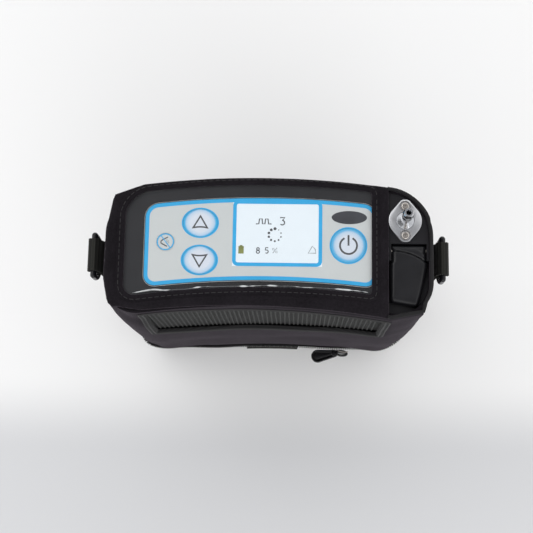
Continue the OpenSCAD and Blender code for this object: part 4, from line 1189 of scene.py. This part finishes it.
def outlet_plate(pitch):
    """The oval metal plate, with the nozzle's hole and two countersunk holes a pitch either side of it."""
    x, y = OUTLET
    low, high = box_mm("nozzle_plate")
    middle_r, end_x, end_y = 8.7, 1.8, high.y - y
    turn = math.atan2(end_x, end_y) + math.acos(middle_r / math.hypot(end_x, end_y))
    half = [(middle_r * math.sin(t), middle_r * math.cos(t)) for t in spread(math.pi - turn, turn, 18)]
    half += [(end_x, end_y), (-end_x, end_y)]
    outline = softened([(x + px, y + py) for px, py in half + [(-px, -py) for px, py in half]], 0.7)
    levels = [(0.0, low.z), (0.0, high.z - 0.35), (-0.1, high.z - 0.1), (-0.35, high.z)]
    plate = mesh_piece("outlet_plate", layered(outline, levels), "plate_metal")
    bore = [(0.01, -1), (4.75, -1), (4.75, 3), (0.01, 3)]
    countersink = [(0.01, 0.9), (2.55, 0.9), (2.7, 1.75), (2.95, 2.01), (2.95, 3), (0.01, 3)]
    cutters = [lathe([(r, TOP_Z + z) for r, z in profile], (x, y + shift))
               for profile, shift in ((bore, 0), (countersink, -pitch), (countersink, pitch))]
    cutter = mesh_piece("plate_cutter", joined(cutters), "plate_metal")
    add_modifier(plate, "BOOLEAN", operation="DIFFERENCE", object=cutter, solver="EXACT")
    applied(plate)
    bpy.data.objects.remove(cutter)
    plate.data.shade_smooth()
    plate.data.set_sharp_from_angle(angle=math.radians(35))
    finished(plate, "cartridge", "plate_metal", "nozzle_plate")


def outlet():
    """The metal outlet on the cartridge: its plate, two screws and the barbed nozzle."""
    x, y = OUTLET
    pitch = 15.7 / 2
    outlet_plate(pitch)
    screw("outlet_screw_back", x, y + pitch)
    screw("outlet_screw_front", x, y - pitch)
    tip, barb = box_mm("oxygen_nozzle")[1].z, 2.9
    foot = [(1.35, -1.9), (6.4, -1.9), (6.4, -0.1), (4.6, -0.1), (4.6, 2.2), (4.35, 2.65), (3.9, 3.3),
            (3.4, 4.4), (2.8, 5.6), (2.45, 6.6)]
    stem = [(2.4, -10), (2.7, -9.85), (barb, -9.5), (barb, -8.1), (2.75, -7.5), (2.3, -5.2), (2.3, -4.8),
            (2.7, -4.6), (barb, -4.3), (barb, -3.1), (2.75, -2.5), (2.25, -0.25), (2.1, 0), (1.45, 0),
            (1.35, -0.15)]
    profile = [(r, TOP_Z + z) for r, z in foot] + [(r, tip + z) for r, z in stem]
    build("outlet_nozzle", lathe(profile, (x, y), 64), "nozzle_metal", "oxygen_nozzle", body="cartridge",
          smooth=40)


def screw(name, x, y):
    """Button-head screw with a hexagon socket."""
    top, count = TOP_Z + 2.3, 36

    def hexagon(r):
        made = []
        for k in range(count):
            t = 2 * math.pi * k / count
            reach = r / math.cos((t + math.pi / 6) % (math.pi / 3) - math.pi / 6)
            made.append((x + reach * math.cos(t), y + reach * math.sin(t)))
        return made

    body = [(0.98, TOP_Z - 5.9), (0.98, TOP_Z + 0.95), (2.05, TOP_Z + 0.95), (2.1, top - 0.7),
            (1.98, top - 0.3), (1.7, top - 0.08), (1.4, top)]
    rings = [flat(ellipse(x, y, r, r, count), z) for r, z in body]
    rings += [flat(hexagon(r), z) for r, z in ((1.0, top), (0.9, top - 0.12), (0.88, top - 0.95))]
    rings.append(flat(ellipse(x, y, 0.2, 0.2, count), top - 1.1))
    build(name, loft(rings), "steel", "nozzle_screws", body="cartridge")


def handle_right(y):
    """x of the casing's outline at the right end for a given y."""
    x = CASE_X
    for _ in range(6):
        over = max(abs(y - arc_y(x)) - STRAIGHT_D, 0)
        x = STRAIGHT_X + math.sqrt(max(CORNER_R ** 2 - over ** 2, 0))
    return x


def pull_handle():
    """The cartridge's pull handle: a smooth convex flap below a raised, curved ridge over its hinge."""
    axis_y, axis_z, sweep = 0.8, 184.4, 2.85     # hinge axis, and the radius that clears the casing behind it
    low, high = box_mm("pull_handle")
    back_y, mid_y, front_left, slope = 3.6, -8.0, -26.8, math.tan(math.radians(11.2))

    def surface(x, y, s, front_y):
        side = min(s, 1 - s) * (high.x - low.x)
        dome = 0.95 * math.sin(math.pi * min(max(lerp(0.12, 0.95, s), 0), 1)) ** 0.7
        edge_drop = 1.5 * (1 - min(side / 2.6, 1)) ** 2 + 1.5 * (1 - min((y - front_y) / 2.4, 1)) ** 2
        ridge = 0.5 * bump_at(y, 2.3 - 4.8 * s ** 2.2, 0.8)
        groove = 0.9 * bump_at(y, 0.5 - 6.0 * s ** 2, 0.45)
        z = high.z - 0.95 + dome - edge_drop + ridge - groove
        if y > axis_y:
            z = min(z, axis_z + math.sqrt(max(sweep ** 2 - (y - axis_y) ** 2, 0.01)))
        return max(min(z, high.z), low.z + 0.3)

    top = []
    for j in range(56):
        row = []
        for s in spread(0, 1, 30):
            front_y = front_left - lerp(0, 78.6 - CARTRIDGE_X, s) * slope
            y = lerp(back_y, mid_y, j / 38) if j < 38 else lerp(mid_y, front_y, (j - 38) / 17)
            narrow = lerp(1.3, 0.4, smoothstep(-5.1, -6.4, y))
            right = min(handle_right(y) - narrow, 84.9 - 5.9 * min(max((-5 - y) / 25, 0), 1) ** 1.25)
            x = lerp(CARTRIDGE_X + narrow, right, s)
            row.append((x, y, surface(x, y, s, front_y)))
        top.append(row)
    bottom = [[(x, y, low.z) for x, y, _ in row] for row in top]
    build("handle_grip", closed_sheet(top, bottom), "handle_black", "pull_handle", body="pull_handle",
          smooth=55)


# ---------------------------------------------------------------- CAD nodes that stay
NODE_SLOTS = {
    "casing_black": ["top_cover", "front_shell", "rear_shell", "cartridge_body", "battery_case", "battery_lid",
                     "fan_frame", "fan_rotor"],
    "component_black": ["chassis", "alarm_buzzer", "solenoid_valves", "dc_inlet"],
    "overlay": ["membrane_overlay"], "lens": ["lcd_lens"], "display": ["lcd_module"],
    "board_green": ["control_board", "main_board"], "manifold_plastic": ["breath_sensor", "valve_manifold"],
    "steel": ["casing_screws", "handle_pin", "sieve_retainers", "pistons", "motor_rotor", "motor_bearings"],
    "ring_black": ["d_ring_left", "d_ring_right"], "tube_alloy": ["sieve_tubes", "product_tank"],
    "zeolite": ["sieve_material"], "seal_rubber": ["cartridge_seals"], "mount_rubber": ["compressor_mounts"],
    "cast_alloy": ["compressor_housing", "cylinder_heads"], "copper_winding": ["motor_stator"],
    "tube_silicone": ["air_tubes"], "filter_foam": ["intake_filter"], "cell_wrap": ["battery_cells"],
    "contact_brass": ["battery_contacts"], "latch_orange": ["battery_latch"],
}
EDGE_RADII = {"top_cover": 0.3, "cartridge_body": 0.35, "battery_case": 0.4, "front_shell": 0.3,
              "rear_shell": 0.3, "dc_inlet": 0.2}


def dress_cad_nodes():
    for slot, names in NODE_SLOTS.items():
        for name in names:
            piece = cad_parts[name]
            piece.data.materials.clear()
            piece.data.materials.append(MATERIALS[slot])
            if name in EDGE_RADII:
                add_modifier(piece, "WELD", merge_threshold=0.00002)
                add_modifier(piece, "BEVEL", width=EDGE_RADII[name] * MM, segments=3, limit_method="ANGLE",
                             angle_limit=math.radians(35), harden_normals=False)


# ---------------------------------------------------------------- stage, in metres
def stage_and_lights():
    """A pale floor with painted shade that greys it towards the front, soft daylight all round, and two area
    lights.
    """
    half, grey_y, pale_y = 2.0, -0.1035, -0.049
    mesh = bpy.data.meshes.new("floor")
    corners = [(x * half, y * half, 0) for x, y in ((-1, -1), (1, -1), (1, 1), (-1, 1))]
    mesh.from_pydata(corners, [], [(0, 1, 2, 3)])
    floor = bpy.data.objects.new("floor", mesh)
    bpy.context.scene.collection.objects.link(floor)
    material, tree, shader = new_material("floor")
    split = node(tree, "SeparateXYZ", node(tree, "TexCoord").outputs["Object"])
    # painted shade: the floor's colour greys from pale to darker towards the front by its y position
    slope = node(tree, "MapRange", Value=split.outputs["Y"], From_Min=grey_y, From_Max=pale_y)
    slope.interpolation_type = "SMOOTHSTEP"
    painted_floor_shade = ramp(tree, slope.outputs[0], (0.0, (0.665, 0.671, 0.686)), (1.0, (0.9, 0.9, 0.9)))
    feed(tree, shader, {"Base Color": painted_floor_shade, "Roughness": 0.9})
    mesh.materials.append(material)

    world = bpy.data.worlds.new("studio")
    bpy.context.scene.world = world
    world.use_nodes = True
    sky = world.node_tree
    height = node(sky, "SeparateXYZ", node(sky, "TexCoord").outputs["Generated"]).outputs["Z"]
    light = ramp(sky, height, (0.0, (1, 1, 1)), (0.76, (1, 1, 1)), (0.93, (0.22, 0.22, 0.23)))
    feed(sky, sky.nodes["Background"], {"Color": light, "Strength": 1.27})

    aim, energy = Vector((0, 0, 0.1)), 3.0
    for name, place, size in (("key_light", (-0.9, 0.5, 1.5), (0.9, 0.6)),
                              ("front_light", (0.5, -1.3, 0.9), (1.0, 0.6))):
        data = bpy.data.lights.new(name, "AREA")
        data.shape = "RECTANGLE"
        data.size, data.size_y, data.energy = *size, energy
        lamp = bpy.data.objects.new(name, data)
        bpy.context.scene.collection.objects.link(lamp)
        lamp.location = place
        lamp.rotation_mode = "QUATERNION"
        lamp.rotation_quaternion = (aim - Vector(place)).to_track_quat("-Z", "Y")
    bpy.context.scene.view_settings.view_transform = "Standard"


def camera():
    eye, target, roll = Vector((15.0, -114.9, 745.5)) * MM, Vector((0.0, -9.5, 190.0)) * MM, -0.127
    back = (eye - target).normalized()
    right = Vector((0, 0, 1)).cross(back).normalized()
    up = back.cross(right)
    c, s = math.cos(roll), math.sin(roll)
    data = bpy.data.cameras.new("camera")
    data.lens, data.sensor_width = 73.19, 36.0
    made = bpy.data.objects.new("camera", data)
    bpy.context.scene.collection.objects.link(made)
    made.matrix_world = Matrix((c * right + s * up, -s * right + c * up, back)).transposed().to_4x4()
    made.location = eye
    bpy.context.scene.camera = made


for make in (camera, stage_and_lights, dress_cad_nodes, bag_walls, top_panel, corner_rim, window_film,
             window_welt, panel_stitching, vent, base_wall, base_floor, pull_tab, zip_chain, webbing, zip_slider,
             zip_puller, overlay_border, screen_graphics, keys, panel_oval, outlet, pull_handle):
    make()
